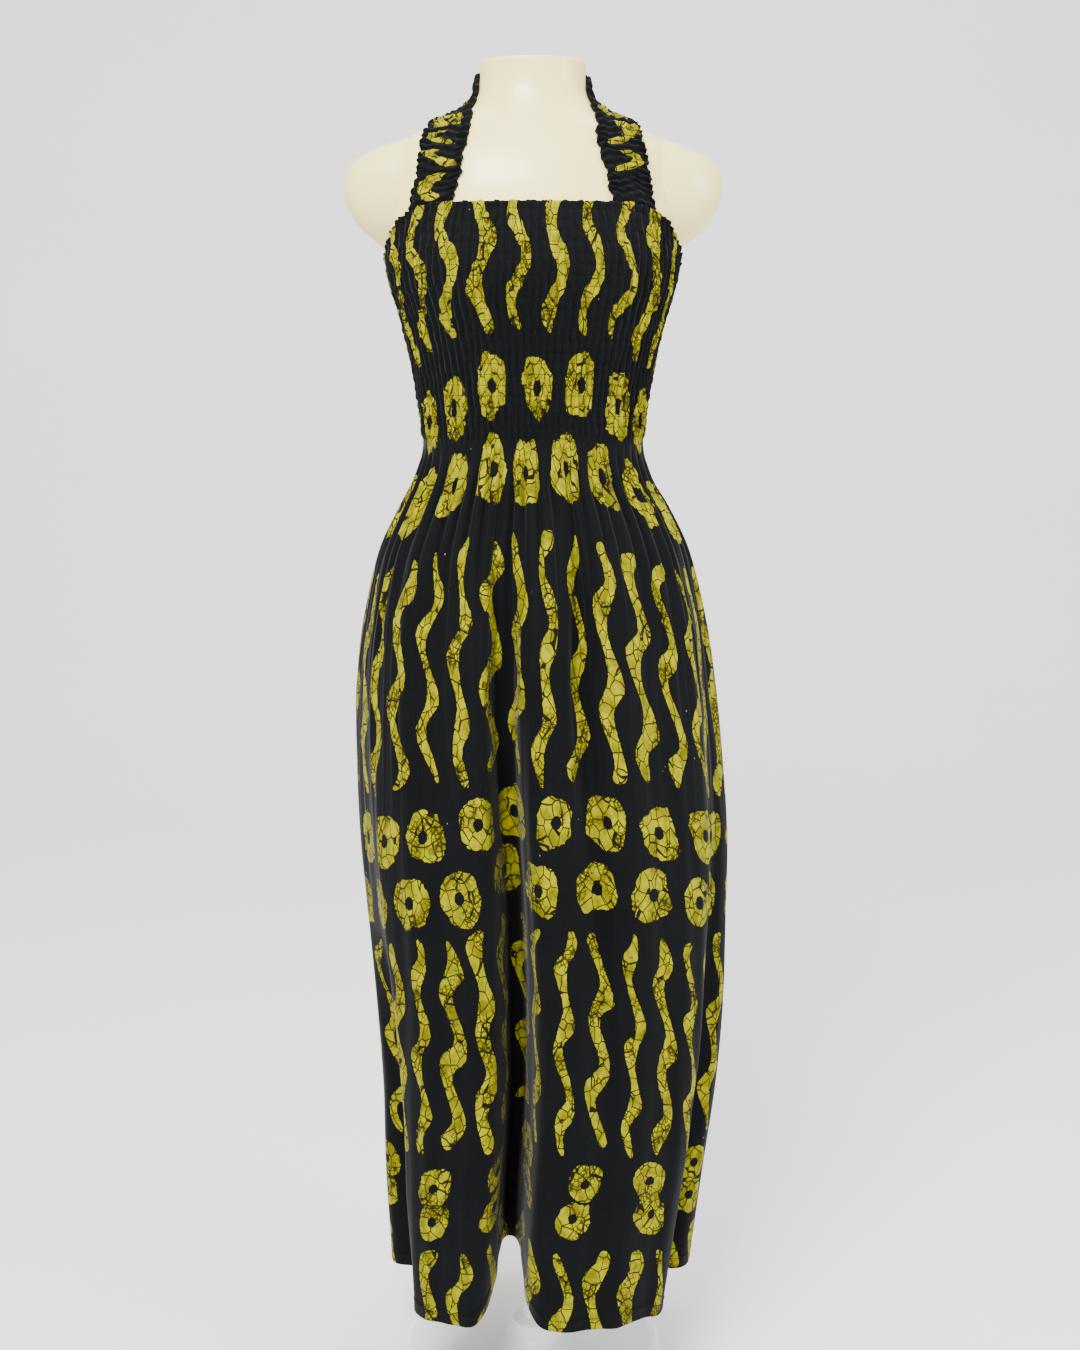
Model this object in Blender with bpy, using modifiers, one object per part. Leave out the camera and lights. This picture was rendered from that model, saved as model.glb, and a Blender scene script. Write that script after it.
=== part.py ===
"""A halter maxi dress with a shirred bodice, worn by an armless dress form on a stand.

The dress is two cloth panels, front and back, each cut in one piece from the top edge to the hem
and gathered by rows of elastic above the waist, with two shirred straps that meet behind the neck.
Metres, +Z up, the floor at zero; the dress faces -Y and +X is the viewer's right.
"""

import bpy
import numpy as np

# Heights above the floor.
NECK_TOP = 1.473
SHIRRING_END = 1.088
FOLD_TOP = 1.058
HIP = 0.90
MID_SKIRT = 0.55
HEM = 0.108
FORM_BOTTOM = 0.745

# The cloth.
WALL = 0.0014
EASE = 0.0006
SEAM_GAP = 0.0003
PUCKER = 0.0022
STRAP_CREASE = 0.0024

# How finely the cloth is divided.
BODICE_COLUMNS = 80
BODICE_ROWS = 15
INNER_BODICE_ROWS = 11
SKIRT_COLUMNS = 48
RING_POINTS = 2880
LEVELS = 120
BEND_WEIGHT = 0.012

# The stand.
FORM_INSET = 0.0010
POLE_RADIUS = 0.0125
BASE_RADIUS = 0.150
BASE_EDGE = 0.006
BOSS_RADIUS = 0.028
BOSS_TOP = 0.034
PART_GAP = 0.0003

# The form from the neck down, without its arm stubs: height, half width, front, back, squareness.
FORM_SECTIONS = (
    (1.473, 0.0565, 0.0500, 0.0620, 2.0),
    (1.452, 0.0565, 0.0500, 0.0620, 2.0),
    (1.438, 0.0600, 0.0520, 0.0660, 2.0),
    (1.427, 0.0690, 0.0560, 0.0710, 2.0),
    (1.418, 0.0840, 0.0600, 0.0750, 2.0),
    (1.409, 0.1050, 0.0650, 0.0790, 2.0),
    (1.399, 0.1270, 0.0700, 0.0830, 2.0),
    (1.388, 0.1430, 0.0760, 0.0870, 2.0),
    (1.370, 0.1490, 0.0840, 0.0910, 2.1),
    (1.345, 0.1495, 0.0940, 0.0950, 2.1),
    (1.320, 0.1495, 0.1060, 0.0970, 2.2),
    (1.295, 0.1505, 0.1160, 0.0970, 2.2),
    (1.270, 0.1525, 0.1215, 0.0960, 2.2),
    (1.245, 0.1490, 0.1205, 0.0940, 2.2),
    (1.215, 0.1392, 0.1120, 0.0910, 2.2),
    (1.180, 0.1310, 0.1020, 0.0880, 2.2),
    (1.145, 0.1240, 0.0950, 0.0860, 2.2),
    (1.110, 0.1190, 0.0920, 0.0860, 2.2),
    (1.075, 0.1172, 0.0920, 0.0880, 2.2),
    (1.040, 0.1200, 0.0930, 0.0920, 2.2),
    (0.990, 0.1360, 0.0950, 0.1020, 2.2),
    (0.930, 0.1550, 0.0980, 0.1150, 2.2),
    (0.870, 0.1620, 0.0960, 0.1200, 2.2),
    (0.810, 0.1580, 0.0860, 0.1120, 2.2),
    (0.765, 0.1480, 0.0740, 0.0960, 2.2),
    (0.745, 0.1400, 0.0680, 0.0870, 2.2),
)

# The rounded arm stubs: height, reach from the axis, half depth, offset towards the back.
STUB_SECTIONS = (
    (1.402, 0.1080, 0.0140, 0.006),
    (1.396, 0.1370, 0.0270, 0.006),
    (1.388, 0.1620, 0.0370, 0.006),
    (1.377, 0.1850, 0.0430, 0.006),
    (1.363, 0.1975, 0.0480, 0.006),
    (1.346, 0.2015, 0.0500, 0.007),
    (1.327, 0.1985, 0.0480, 0.009),
    (1.307, 0.1870, 0.0420, 0.013),
    (1.292, 0.1710, 0.0340, 0.018),
    (1.278, 0.1520, 0.0240, 0.022),
    (1.262, 0.1300, 0.0120, 0.024),
)
STUB_ROOT = 0.105
STUB_BLEND = 0.004

# The outside of the skirt: height, half width, front, back, squareness, shift to the right.
SKIRT_SECTIONS = (
    (1.059, 0.1205, 0.0950, 0.0925, 2.2, 0.0000),
    (1.038, 0.1265, 0.1010, 0.0985, 2.2, 0.0000),
    (1.016, 0.1400, 0.1090, 0.1060, 2.2, 0.0010),
    (0.994, 0.1525, 0.1170, 0.1130, 2.2, 0.0015),
    (0.972, 0.1640, 0.1240, 0.1190, 2.2, 0.0015),
    (0.927, 0.1796, 0.1350, 0.1290, 2.2, 0.0020),
    (0.880, 0.1910, 0.1430, 0.1360, 2.2, 0.0025),
    (0.815, 0.2007, 0.1500, 0.1420, 2.2, 0.0035),
    (0.723, 0.2071, 0.1560, 0.1460, 2.25, 0.0080),
    (0.629, 0.2096, 0.1600, 0.1480, 2.3, 0.0130),
    (0.533, 0.2058, 0.1620, 0.1480, 2.35, 0.0167),
    (0.436, 0.2026, 0.1640, 0.1480, 2.4, 0.0197),
    (0.336, 0.1969, 0.1650, 0.1470, 2.45, 0.0192),
    (0.235, 0.1906, 0.1660, 0.1460, 2.5, 0.0134),
    (0.100, 0.1800, 0.1660, 0.1430, 2.5, 0.0085),
)

# The skirt's folds, as valleys pushed into it: where they are at the hip and at the hem, in turns
# from the centre front to the right; half width; depth at the hip, at mid skirt and at the hem;
# the way they are pushed, in degrees from straight back towards +X; and how far they lift the hem.
SKIRT_FOLDS = (
    (-0.030, -0.033, 0.0155, 0.034, 0.100, 0.150, 0, 0.040),
    (0.212, 0.186, 0.0300, 0.008, 0.026, 0.080, -62, 0.006),
    (-0.212, -0.190, 0.0280, 0.005, 0.012, 0.075, 62, 0.004),
    (0.043, 0.050, 0.0120, 0.026, 0.016, 0.004, 0, 0.000),
    (-0.100, -0.092, 0.0200, 0.009, 0.006, 0.005, 0, 0.003),
    (0.118, 0.100, 0.0170, 0.011, 0.006, 0.006, 0, 0.003),
    (-0.165, -0.128, 0.0150, 0.008, 0.004, 0.003, 0, 0.000),
    (0.318, 0.300, 0.0200, 0.014, 0.042, 0.052, 225, 0.004),
    (0.412, 0.400, 0.0210, 0.012, 0.056, 0.080, 184, 0.010),
    (-0.498, -0.488, 0.0170, 0.014, 0.034, 0.044, 180, 0.004),
    (-0.420, -0.405, 0.0200, 0.010, 0.052, 0.074, 176, 0.008),
    (-0.325, -0.310, 0.0190, 0.014, 0.040, 0.050, 135, 0.004),
)

# Small gathers where the skirt leaves the elastic, and the least rounding of any fold.
GATHER_DEPTH = 0.0050
GATHER_FADE = 0.86
FOLD_ROUNDING = 0.0055

# Heights of the skirt's rows of points.
SKIRT_ROWS = (1.076, 1.056, 1.030, 0.998, 0.955, 0.900, 0.835, 0.760, 0.680, 0.595, 0.505, 0.410, 0.315, 0.215, HEM)

# The bodice's top edge: degrees round from the centre front, height.
TOP_EDGE = (
    (0, 1.3260),
    (44, 1.3255),
    (54, 1.3210),
    (64, 1.3120),
    (74, 1.2970),
    (82, 1.2830),
    (90, 1.2700),
    (104, 1.2620),
    (130, 1.2590),
    (180, 1.2580),
)

# The left strap's edges before they are laid on the form, from the bodice to the nape:
# inner edge x, y, z, then outer edge x, y, z.
STRAP_EDGES = (
    (-0.0805, -0.0905, 1.3260, -0.1240, -0.0620, 1.3140),
    (-0.0735, -0.0820, 1.3480, -0.1205, -0.0570, 1.3450),
    (-0.0670, -0.0740, 1.3750, -0.1160, -0.0530, 1.3740),
    (-0.0630, -0.0600, 1.4000, -0.1125, -0.0360, 1.3975),
    (-0.0600, -0.0320, 1.4290, -0.1030, -0.0060, 1.4110),
    (-0.0575, 0.0020, 1.4590, -0.0870, 0.0330, 1.4140),
    (-0.0480, 0.0380, 1.4670, -0.0635, 0.0600, 1.4170),
    (-0.0270, 0.0590, 1.4685, -0.0335, 0.0740, 1.4200),
    (-0.0002, 0.0640, 1.4690, -0.0002, 0.0770, 1.4220),
)
STRAP_ROWS = 36
STRAP_COLUMNS = 6
STRAP_LIFT = 0.0004
STRAP_GAP = 0.0010

PRINT_BLACK = (0.012, 0.013, 0.015, 1.0)
FORM_CREAM = (0.86, 0.82, 0.66, 1.0)
STAND_WHITE = (0.80, 0.80, 0.79, 1.0)


def smooth_column(table, column, height):
    """One column of a table read at any height, as a smooth curve through its rows."""
    rows = np.array(table, float)[::-1]
    heights, values = rows[:, 0], rows[:, column]
    slopes = np.gradient(values, heights)
    height = np.clip(height, heights[0], heights[-1])
    at = np.clip(np.searchsorted(heights, height) - 1, 0, len(heights) - 2)
    step = heights[at + 1] - heights[at]
    t = (height - heights[at]) / step
    start = values[at] * (2 * t**3 - 3 * t**2 + 1) + slopes[at] * step * (t**3 - 2 * t**2 + t)
    end = values[at + 1] * (3 * t**2 - 2 * t**3) + slopes[at + 1] * step * (t**3 - t**2)
    return start + end


def ease(value):
    """A soft step from 0 to 1."""
    t = np.clip(value, 0, 1)
    return t * t * (3 - 2 * t)


def signed_power(value, power):
    return np.sign(value) * np.abs(value) ** power


def oval(angle, half_width, front, back, squareness):
    """A squared oval round the axis: angle 0 is the centre front and a quarter turn is +X."""
    depth = np.where(np.cos(angle) > 0, front, back)
    x = half_width * signed_power(np.sin(angle), 2 / squareness)
    y = -depth * signed_power(np.cos(angle), 2 / squareness)
    return x, y


# The figure under the dress, also used to lay the straps.


def form_share(points):
    """How far out a point is as a share of the form's section at its height: 1 on the surface."""
    x, y, z = np.moveaxis(points, -1, 0)
    half_width, front, back, squareness = (smooth_column(FORM_SECTIONS, k, z) for k in (1, 2, 3, 4))
    depth = np.where(y < 0, front, back)
    return (np.abs(x / half_width) ** squareness + np.abs(y / depth) ** squareness) ** (1 / squareness)


def lay_on_form(points, gap):
    """Moves points to the given distance outside the form, and gives the outward directions there."""
    points = np.array(points, float)
    probe = 0.0005
    for _ in range(6):
        steps = probe * np.eye(3)
        slope = np.stack([form_share(points + s) - form_share(points - s) for s in steps], -1) / (2 * probe)
        size = np.linalg.norm(slope, axis=-1, keepdims=True)
        outward = slope / size
        distance = (form_share(points) - 1)[..., None] / size
        points = points - (distance - gap) * outward
    return points, outward


def form_ring(angles, height):
    """One level section of the form, with its arm stubs, as distances from the axis."""
    half_width, front, back, squareness = (smooth_column(FORM_SECTIONS, k, height) for k in (1, 2, 3, 4))
    sine, cosine = np.sin(angles), np.cos(angles)
    depth = np.where(cosine > 0, front, back)
    torso = (np.abs(sine / half_width) ** squareness + np.abs(cosine / depth) ** squareness) ** (-1 / squareness)
    if not STUB_SECTIONS[-1][0] <= height <= STUB_SECTIONS[0][0]:
        return torso
    reach, half_depth, offset = (smooth_column(STUB_SECTIONS, k, height) for k in (1, 2, 3))
    # The stub's section is an oval centred at STUB_ROOT; its far crossing solves a quadratic.
    half_length = reach - STUB_ROOT
    a = (np.abs(sine) / half_length) ** 2 + (cosine / half_depth) ** 2
    b = -np.abs(sine) * STUB_ROOT / half_length**2 + cosine * offset / half_depth**2
    c = (STUB_ROOT / half_length) ** 2 + (offset / half_depth) ** 2 - 1
    root = b**2 - a * c
    stub = np.where(root > 0, (-b + np.sqrt(np.maximum(root, 0))) / a, 0)
    mix = np.clip(0.5 + (stub - torso) / (2 * STUB_BLEND), 0, 1)
    return torso + (stub - torso) * mix + STUB_BLEND * mix * (1 - mix)


# The cloth's sections.


def cloth_section(height):
    """Half width, front, back, squareness and shift of the cloth's outside at a height."""
    on_form = [float(smooth_column(FORM_SECTIONS, k, max(height, SHIRRING_END))) for k in (1, 2, 3, 4)]
    bodice = (*(size + EASE + WALL for size in on_form[:3]), on_form[3], 0.0)
    if height >= SHIRRING_END:
        return bodice
    table = ((SHIRRING_END, *bodice), *SKIRT_SECTIONS)
    return tuple(float(smooth_column(table, k, height)) for k in range(1, 6))


def fold_turns(height):
    """Where the folds are at a height, sliding from their places at the hip to those at the hem."""
    down = np.clip((HIP - height) / (HIP - HEM), 0, 1)
    return [at_hip + (at_hem - at_hip) * down for at_hip, at_hem, *_ in SKIRT_FOLDS]


def valley(distance):
    """A fold's cross section: 1 at its floor, flat there, and fading to 0 beyond one half width."""
    return 1 / (1 + distance**4)


def soften(ring, width):
    """Rounds a closed section's bends with a bell curve of the given width along the cloth."""
    step = np.linalg.norm(np.diff(ring, axis=0), axis=1).mean()
    waves = np.fft.rfftfreq(len(ring) - 1, step)
    damping = np.exp(-2 * (np.pi * width * waves) ** 2)
    smooth = np.fft.irfft(np.fft.rfft(ring[:-1], axis=0) * damping[:, None], len(ring) - 1, axis=0)
    return np.concatenate([smooth, smooth[:1]])


def evenly(ring, turn):
    """The same closed section with its points at even distances along the cloth."""
    along = np.concatenate([[0], np.cumsum(np.linalg.norm(np.diff(ring, axis=0), axis=1))])
    at = np.linspace(0, along[-1], RING_POINTS + 1)
    return np.stack([np.interp(at, along, column) for column in ring.T], -1), np.interp(at, along, turn)


def outward_of(ring):
    """Outward directions along a closed section that runs from the centre back by -X to the front."""
    ahead = np.roll(ring[:-1], -1, axis=0) - np.roll(ring[:-1], 1, axis=0)
    ahead = np.concatenate([ahead, ahead[:1]])
    ahead /= np.linalg.norm(ahead, axis=1, keepdims=True)
    return np.stack([ahead[:, 1], -ahead[:, 0]], -1)


def clear_of_form(ring, height):
    """Moves any point that is too near the form out from the axis."""
    if height < FORM_BOTTOM - 0.03:
        return ring
    points = np.column_stack([ring, np.full(len(ring), height)])
    radius = np.linalg.norm(ring, axis=1)
    least = radius / form_share(points) + EASE + WALL
    return ring * (np.maximum(radius, least) / radius)[:, None]


def cloth_ring(height):
    """The cloth's outside at one height: points all round from the centre back, and their turns.

    A turn is 0 at the centre front, a quarter at the right side seam and minus a quarter at the left.
    """
    angle = np.linspace(-np.pi, np.pi, RING_POINTS + 1)
    half_width, front, back, squareness, shift = cloth_section(height)
    x, y = oval(angle, half_width, front, back, squareness)
    ring = np.stack([x + shift, y], -1)
    round_it = np.concatenate([[0], np.cumsum(np.linalg.norm(np.diff(ring, axis=0), axis=1))])
    perimeter = round_it[-1]
    quarters = np.interp(np.pi * np.array([-1, -0.5, 0, 0.5, 1]), angle, round_it)
    turn = np.interp(round_it, quarters, (-0.5, -0.25, 0, 0.25, 0.5))
    if height < SHIRRING_END:
        for centre, fold in zip(fold_turns(height), SKIRT_FOLDS):
            _, _, half, *depths, heading, _ = fold
            push = np.interp(height, (HEM, MID_SKIRT, HIP, FOLD_TOP), (*depths[::-1], 0))
            away = ((turn - centre + 0.5) % 1 - 0.5) * perimeter
            way = np.radians(heading)
            ring = ring + (push * valley(away / half))[:, None] * (np.sin(way), np.cos(way))
        ring, turn = evenly(ring, turn)
        ring = soften(ring, FOLD_ROUNDING * ease((SHIRRING_END - height) / 0.10))
    return clear_of_form(ring, height), turn


def turns_of(marks, height):
    """Turns, at a height, of columns marked by their turns at the hip: each keeps between its folds."""
    seams = [-0.25, 0.25, 0.75]
    hip = sorted(seams + [front_first(turn) for turn in fold_turns(HIP)])
    here = sorted(seams + [front_first(turn) for turn in fold_turns(height)])
    return np.interp(marks, hip, here)


def front_first(turn):
    """A turn written between minus a quarter and three quarters: the front panel, then the back."""
    return (turn + 0.25) % 1 - 0.25


def line_at(height, marks):
    """Points, outward directions and turns where the marked columns pass a height."""
    ring, turn = cloth_ring(height)
    outward = outward_of(ring)
    perimeter = np.linalg.norm(np.diff(ring, axis=0), axis=1).sum()
    front = marks[-1] < 0.3
    gap = SEAM_GAP / 2 / perimeter
    first, last = (-0.25, 0.25) if front else (0.25, 0.75)
    at = np.clip(turns_of(marks, height), first + gap, last - gap)
    turn = np.concatenate([turn, turn[1:] + 1])
    values = np.column_stack([ring, outward])
    values = np.concatenate([values, values[1:]])
    x, y, out_x, out_y = (np.interp(at, turn, column) for column in values.T)
    return np.stack([x, y, np.full_like(at, height), out_x, out_y, np.zeros_like(at), at], -1)


def skirt_marks(front):
    """Marks of the skirt's columns, closer together where the cloth runs deep or bends."""
    fine = np.linspace(-0.25, 0.25, 1201) + (0 if front else 0.5)
    total = 0
    for height in (1.03, 0.90, 0.70, 0.50, 0.30, HEM):
        at = line_at(height, fine)
        run = np.linalg.norm(np.diff(at[:, :2], axis=0), axis=1)
        heading = np.unwrap(np.arctan2(at[:, 4], at[:, 3]))
        total = total + run + BEND_WEIGHT * np.abs(np.diff(heading))
    measure = np.concatenate([[0], np.cumsum(total)])
    return np.interp(np.linspace(0, measure[-1], SKIRT_COLUMNS + 1), measure, fine)


def top_edge(turn):
    """Height of the bodice's top edge at a turn round the section."""
    degrees = np.abs((turn + 0.5) % 1 - 0.5) * 360
    return np.interp(degrees, *zip(*TOP_EDGE))


def turn_of(points):
    """Turns of points on the chest, read from the cloth's section just under the front's top edge."""
    ring, turn = cloth_ring(1.32)
    return np.interp(np.arctan2(points[:, 0], -points[:, 1]), np.arctan2(ring[:, 0], -ring[:, 1]), turn)


def hem_height(turn):
    """Height of the hem, which the folds lift or drop a little."""
    height = HEM + 0.004 * np.sin(6 * np.pi * turn + 0.8)
    for _, at_hem, half, *_, lift in SKIRT_FOLDS:
        away = (turn - at_hem + 0.5) % 1 - 0.5
        height = height + lift * valley(away / (half * 1.3))
    return height


def lay_cloth(marks, heights):
    """Points and outward directions of marked columns at rows of heights."""
    levels = np.linspace(heights.max(), heights.min(), LEVELS)
    table = np.array([line_at(level, marks) for level in levels])
    place = (levels[0] - heights) / (levels[0] - levels[-1]) * (LEVELS - 1)
    upper = np.clip(place.astype(int), 0, LEVELS - 2)
    share = (place - upper)[..., None]
    columns = np.arange(len(marks))
    laid = table[upper, columns] * (1 - share) + table[upper + 1, columns] * share
    laid[..., 2] = heights
    return laid[..., :3], laid[..., 3:6]


# Walls made from an outer and an inner sheet of rows.


def zip_rows(first, first_shares, second, second_shares, flip):
    """Triangles between two rows of point numbers, always across the shorter of the two diagonals."""
    faces = []
    i = j = 0
    while i < len(first) - 1 or j < len(second) - 1:
        if i == len(first) - 1 or j == len(second) - 1:
            take_first = j == len(second) - 1
        else:
            take_first = first_shares[i + 1] - second_shares[j] <= second_shares[j + 1] - first_shares[i] + 1e-9
        if take_first:
            face = (first[i], second[j], first[i + 1])
            i += 1
        else:
            face = (first[i], second[j], second[j + 1])
            j += 1
        faces.append(face[::-1] if flip else face)
    return faces


def close_wall(name, outer, inner, colour, roughness):
    """One closed wall: two sheets of rows, each row its points and their shares, joined at their edges."""
    points, numbers = [], []
    for sheet in (outer, inner):
        numbers.append([])
        for row, _ in sheet:
            numbers[-1].append(np.arange(len(row)) + len(points))
            points.extend(row)
    faces = []
    for sheet, rows, flip in ((outer, numbers[0], False), (inner, numbers[1], True)):
        for k in range(len(rows) - 1):
            faces += zip_rows(rows[k], sheet[k][1], rows[k + 1], sheet[k + 1][1], flip)
    for k, flip in ((0, True), (-1, False)):
        faces += zip_rows(numbers[0][k], outer[k][1], numbers[1][k], inner[k][1], flip)
    for k, flip in ((0, False), (-1, True)):
        sides = []
        for sheet, rows in ((outer, numbers[0]), (inner, numbers[1])):
            ends = np.array([row[k] for row, _ in sheet])
            along = np.concatenate([[0], np.cumsum(np.linalg.norm(np.diff(ends, axis=0), axis=1))])
            sides.append(([row[k] for row in rows], along / along[-1]))
        faces += zip_rows(*sides[0], *sides[1], flip)
    mesh = bpy.data.meshes.new(name)
    mesh.from_pydata([tuple(map(float, p)) for p in points], [], [tuple(map(int, f)) for f in faces])
    return add_object(name, mesh, colour, roughness)


def add_object(name, mesh, colour, roughness):
    """Puts a mesh in the dress's collection with its own smooth-shaded material."""
    mesh.shade_smooth()
    material = bpy.data.materials.new(name)
    material.use_nodes = True
    surface = material.node_tree.nodes["Principled BSDF"]
    surface.inputs["Base Color"].default_value = colour
    surface.inputs["Roughness"].default_value = roughness
    mesh.materials.append(material)
    piece = bpy.data.objects.new(name, mesh)
    bpy.data.collections["halter_dress"].objects.link(piece)
    return piece


# The pieces.


def bodice_heights(turn, rows):
    """Rows of heights from the top edge to the last row of elastic."""
    top = top_edge(turn)
    return top + (SHIRRING_END - top) * np.linspace(0, 1, rows)[:, None]


def skirt_heights(turn):
    """Rows of heights from the waist to the uneven hem."""
    rows = np.array(SKIRT_ROWS)[:, None]
    down = (SKIRT_ROWS[0] - rows) / (SKIRT_ROWS[0] - HEM)
    return rows + (hem_height(turn) - HEM) * down**2


def puckers(rows, columns):
    """Height of the shirring's puckers: every second point stands out, staggered from row to row."""
    row, column = np.mgrid[0:rows, 0:columns]
    uneven = 0.82 + 0.18 * np.sin(column * 0.7 + row * 1.9)
    return PUCKER * ((row + column) % 2) * uneven


def gathers(heights):
    """How far the skirt's columns stand out and in, by turns, where they leave the elastic."""
    grow = ease((SHIRRING_END - 0.016 - heights) / 0.045)
    fade = ease((heights - GATHER_FADE) / (1.05 - GATHER_FADE))
    column = np.arange(heights.shape[1])
    uneven = 0.72 + 0.28 * np.sin(column * 1.1 + 0.6)
    return GATHER_DEPTH * grow * fade * uneven * (column % 2 - 0.5)


def panel(name, front):
    """A front or back panel, cut in one from the top edge to the hem."""
    half_turn = np.linspace(-0.25, 0.25, BODICE_COLUMNS + 1)
    fine = half_turn if front else half_turn + 0.5
    coarse = skirt_marks(front)
    fine_turn = line_at(SHIRRING_END, fine)[:, 6]
    hem_turn = line_at(HEM, coarse)[:, 6]

    points, outward = lay_cloth(fine, bodice_heights(fine_turn, BODICE_ROWS))
    points = points + outward * puckers(BODICE_ROWS, len(fine))[..., None]
    outer = [(row, fine) for row in points]

    points, outward = lay_cloth(fine[::2], bodice_heights(fine_turn[::2], INNER_BODICE_ROWS))
    inner = [(row, fine[::2]) for row in points - WALL * outward]

    heights = skirt_heights(hem_turn)
    points, outward = lay_cloth(coarse, heights)
    points = points - outward * gathers(heights)[..., None]
    outer += [(row, coarse) for row in points]
    inner += [(row, coarse) for row in points - WALL * outward]
    return close_wall(name, outer, inner, PRINT_BLACK, 0.62)


def strap(name, side):
    """A shirred strap from the bodice's top edge over the shoulder to the middle of the nape."""
    edges = np.array(STRAP_EDGES)
    stations = np.linspace(0, 1, len(edges))
    along = np.linspace(0, 1, STRAP_ROWS)
    path = np.stack([smooth_column(np.stack([stations, edge], -1)[::-1], 1, along) for edge in edges.T], -1)
    across = np.linspace(0, 1, STRAP_COLUMNS + 1)
    line = path[:, None, :3] * (1 - across[:, None]) + path[:, None, 3:] * across[:, None]
    laid, _ = lay_on_form(line, STRAP_LIFT)
    # The foot follows the bodice's top edge.
    laid[0, :, 2] = top_edge(turn_of(laid[0])) + STRAP_GAP
    laid, outward = lay_on_form(laid, STRAP_LIFT)
    row, column = np.mgrid[0:STRAP_ROWS, 0 : STRAP_COLUMNS + 1]
    crease = STRAP_CREASE * ((row + column) % 2) * (0.80 + 0.20 * np.sin(row * 1.3 + column * 2.1))
    sheets = []
    for height in (WALL + crease, 0 * crease):
        sheet = laid + outward * height[..., None]
        sheet[-1, :, 0] = -SEAM_GAP / 2
        # Rows run from the left as seen from outside, and from the nape down.
        sheet = sheet[::-1, ::-1] if side < 0 else sheet[::-1] * (-1, 1, 1)
        sheets.append([(points, across) for points in sheet])
    return close_wall(name, *sheets, PRINT_BLACK, 0.62)


def form_torso():
    """The smooth armless form, from its flat neck to its flat underside, as stacked level sections."""
    name = "form_torso"
    columns = 40
    heights = np.concatenate(
        [
            (NECK_TOP, 1.450),
            np.linspace(1.438, 1.272, 17),
            np.linspace(1.246, 1.060, 7),
            np.linspace(1.010, FORM_BOTTOM + 0.012, 5),
            [FORM_BOTTOM],
        ]
    )
    even = np.linspace(-np.pi, np.pi, columns, endpoint=False)
    angles = even + 0.2 * np.sin(2 * even)
    points = []
    for height in heights:
        radius = form_ring(angles, height) - FORM_INSET
        points += [(r * np.sin(a), -r * np.cos(a), height) for r, a in zip(radius, angles)]
    faces = []
    for k in range(len(heights) - 1):
        for j in range(columns):
            after = (j + 1) % columns
            upper, lower = k * columns, (k + 1) * columns
            faces.append((upper + j, lower + j, lower + after, upper + after))
    faces.append(tuple(range(columns)))
    last = (len(heights) - 1) * columns
    faces.append(tuple(last + j for j in reversed(range(columns))))
    mesh = bpy.data.meshes.new(name)
    mesh.from_pydata([tuple(map(float, p)) for p in points], [], faces)
    return add_object(name, mesh, FORM_CREAM, 0.35)


def form_pole():
    """The stand's tube, from its boss up to the form."""
    bottom, top = BOSS_TOP + PART_GAP, FORM_BOTTOM - PART_GAP
    bpy.ops.mesh.primitive_cylinder_add(
        vertices=24, radius=POLE_RADIUS, depth=top - bottom, location=(0, 0, (top + bottom) / 2)
    )
    return adopt("form_pole", bpy.context.object, STAND_WHITE, 0.3)


def form_base():
    """The stand's round plate with a boss for the tube, turned from a profile."""
    profile = (
        (0.0, BOSS_TOP),
        (BOSS_RADIUS - 0.006, BOSS_TOP),
        (BOSS_RADIUS - 0.002, BOSS_TOP - 0.003),
        (BOSS_RADIUS, BASE_EDGE + 0.010),
        (BOSS_RADIUS + 0.008, BASE_EDGE + 0.004),
        (BASE_RADIUS - 0.012, BASE_EDGE),
        (BASE_RADIUS - 0.003, BASE_EDGE - 0.001),
        (BASE_RADIUS, BASE_EDGE - 0.003),
        (BASE_RADIUS, 0.001),
        (BASE_RADIUS - 0.001, 0.0),
        (0.0, 0.0),
    )
    mesh = bpy.data.meshes.new("form_base")
    mesh.from_pydata([(x, 0, z) for x, z in profile], [(k, k + 1) for k in range(len(profile) - 1)], [])
    base = add_object("form_base", mesh, STAND_WHITE, 0.3)
    screw = base.modifiers.new("Screw", "SCREW")
    screw.steps = screw.render_steps = 36
    screw.use_merge_vertices = True
    screw.merge_threshold = 0.0001
    return base


def adopt(name, piece, colour, roughness):
    """Names a primitive and moves it to the dress's collection."""
    mesh = piece.data
    for owner in list(piece.users_collection):
        owner.objects.unlink(piece)
    place = piece.location.copy()
    bpy.data.objects.remove(piece)
    mesh.name = name
    made = add_object(name, mesh, colour, roughness)
    mesh.set_sharp_from_angle(angle=np.radians(40))
    made.location = place
    return made


def main():
    for old in list(bpy.data.objects):
        bpy.data.objects.remove(old)
    bpy.context.scene.collection.children.link(bpy.data.collections.new("halter_dress"))
    panel("dress_front", True)
    panel("dress_back", False)
    strap("strap_left", -1)
    strap("strap_right", 1)
    form_torso()
    form_pole()
    form_base()


main()
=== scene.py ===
# %% [markdown]
# # A halter maxi dress in black and yellow wax print, on a dress form
#
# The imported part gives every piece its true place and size. This lesson dresses it: the cloth gets its
# shirring, gathers and print, the form its glossy skin and the stand its enamel.

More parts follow.
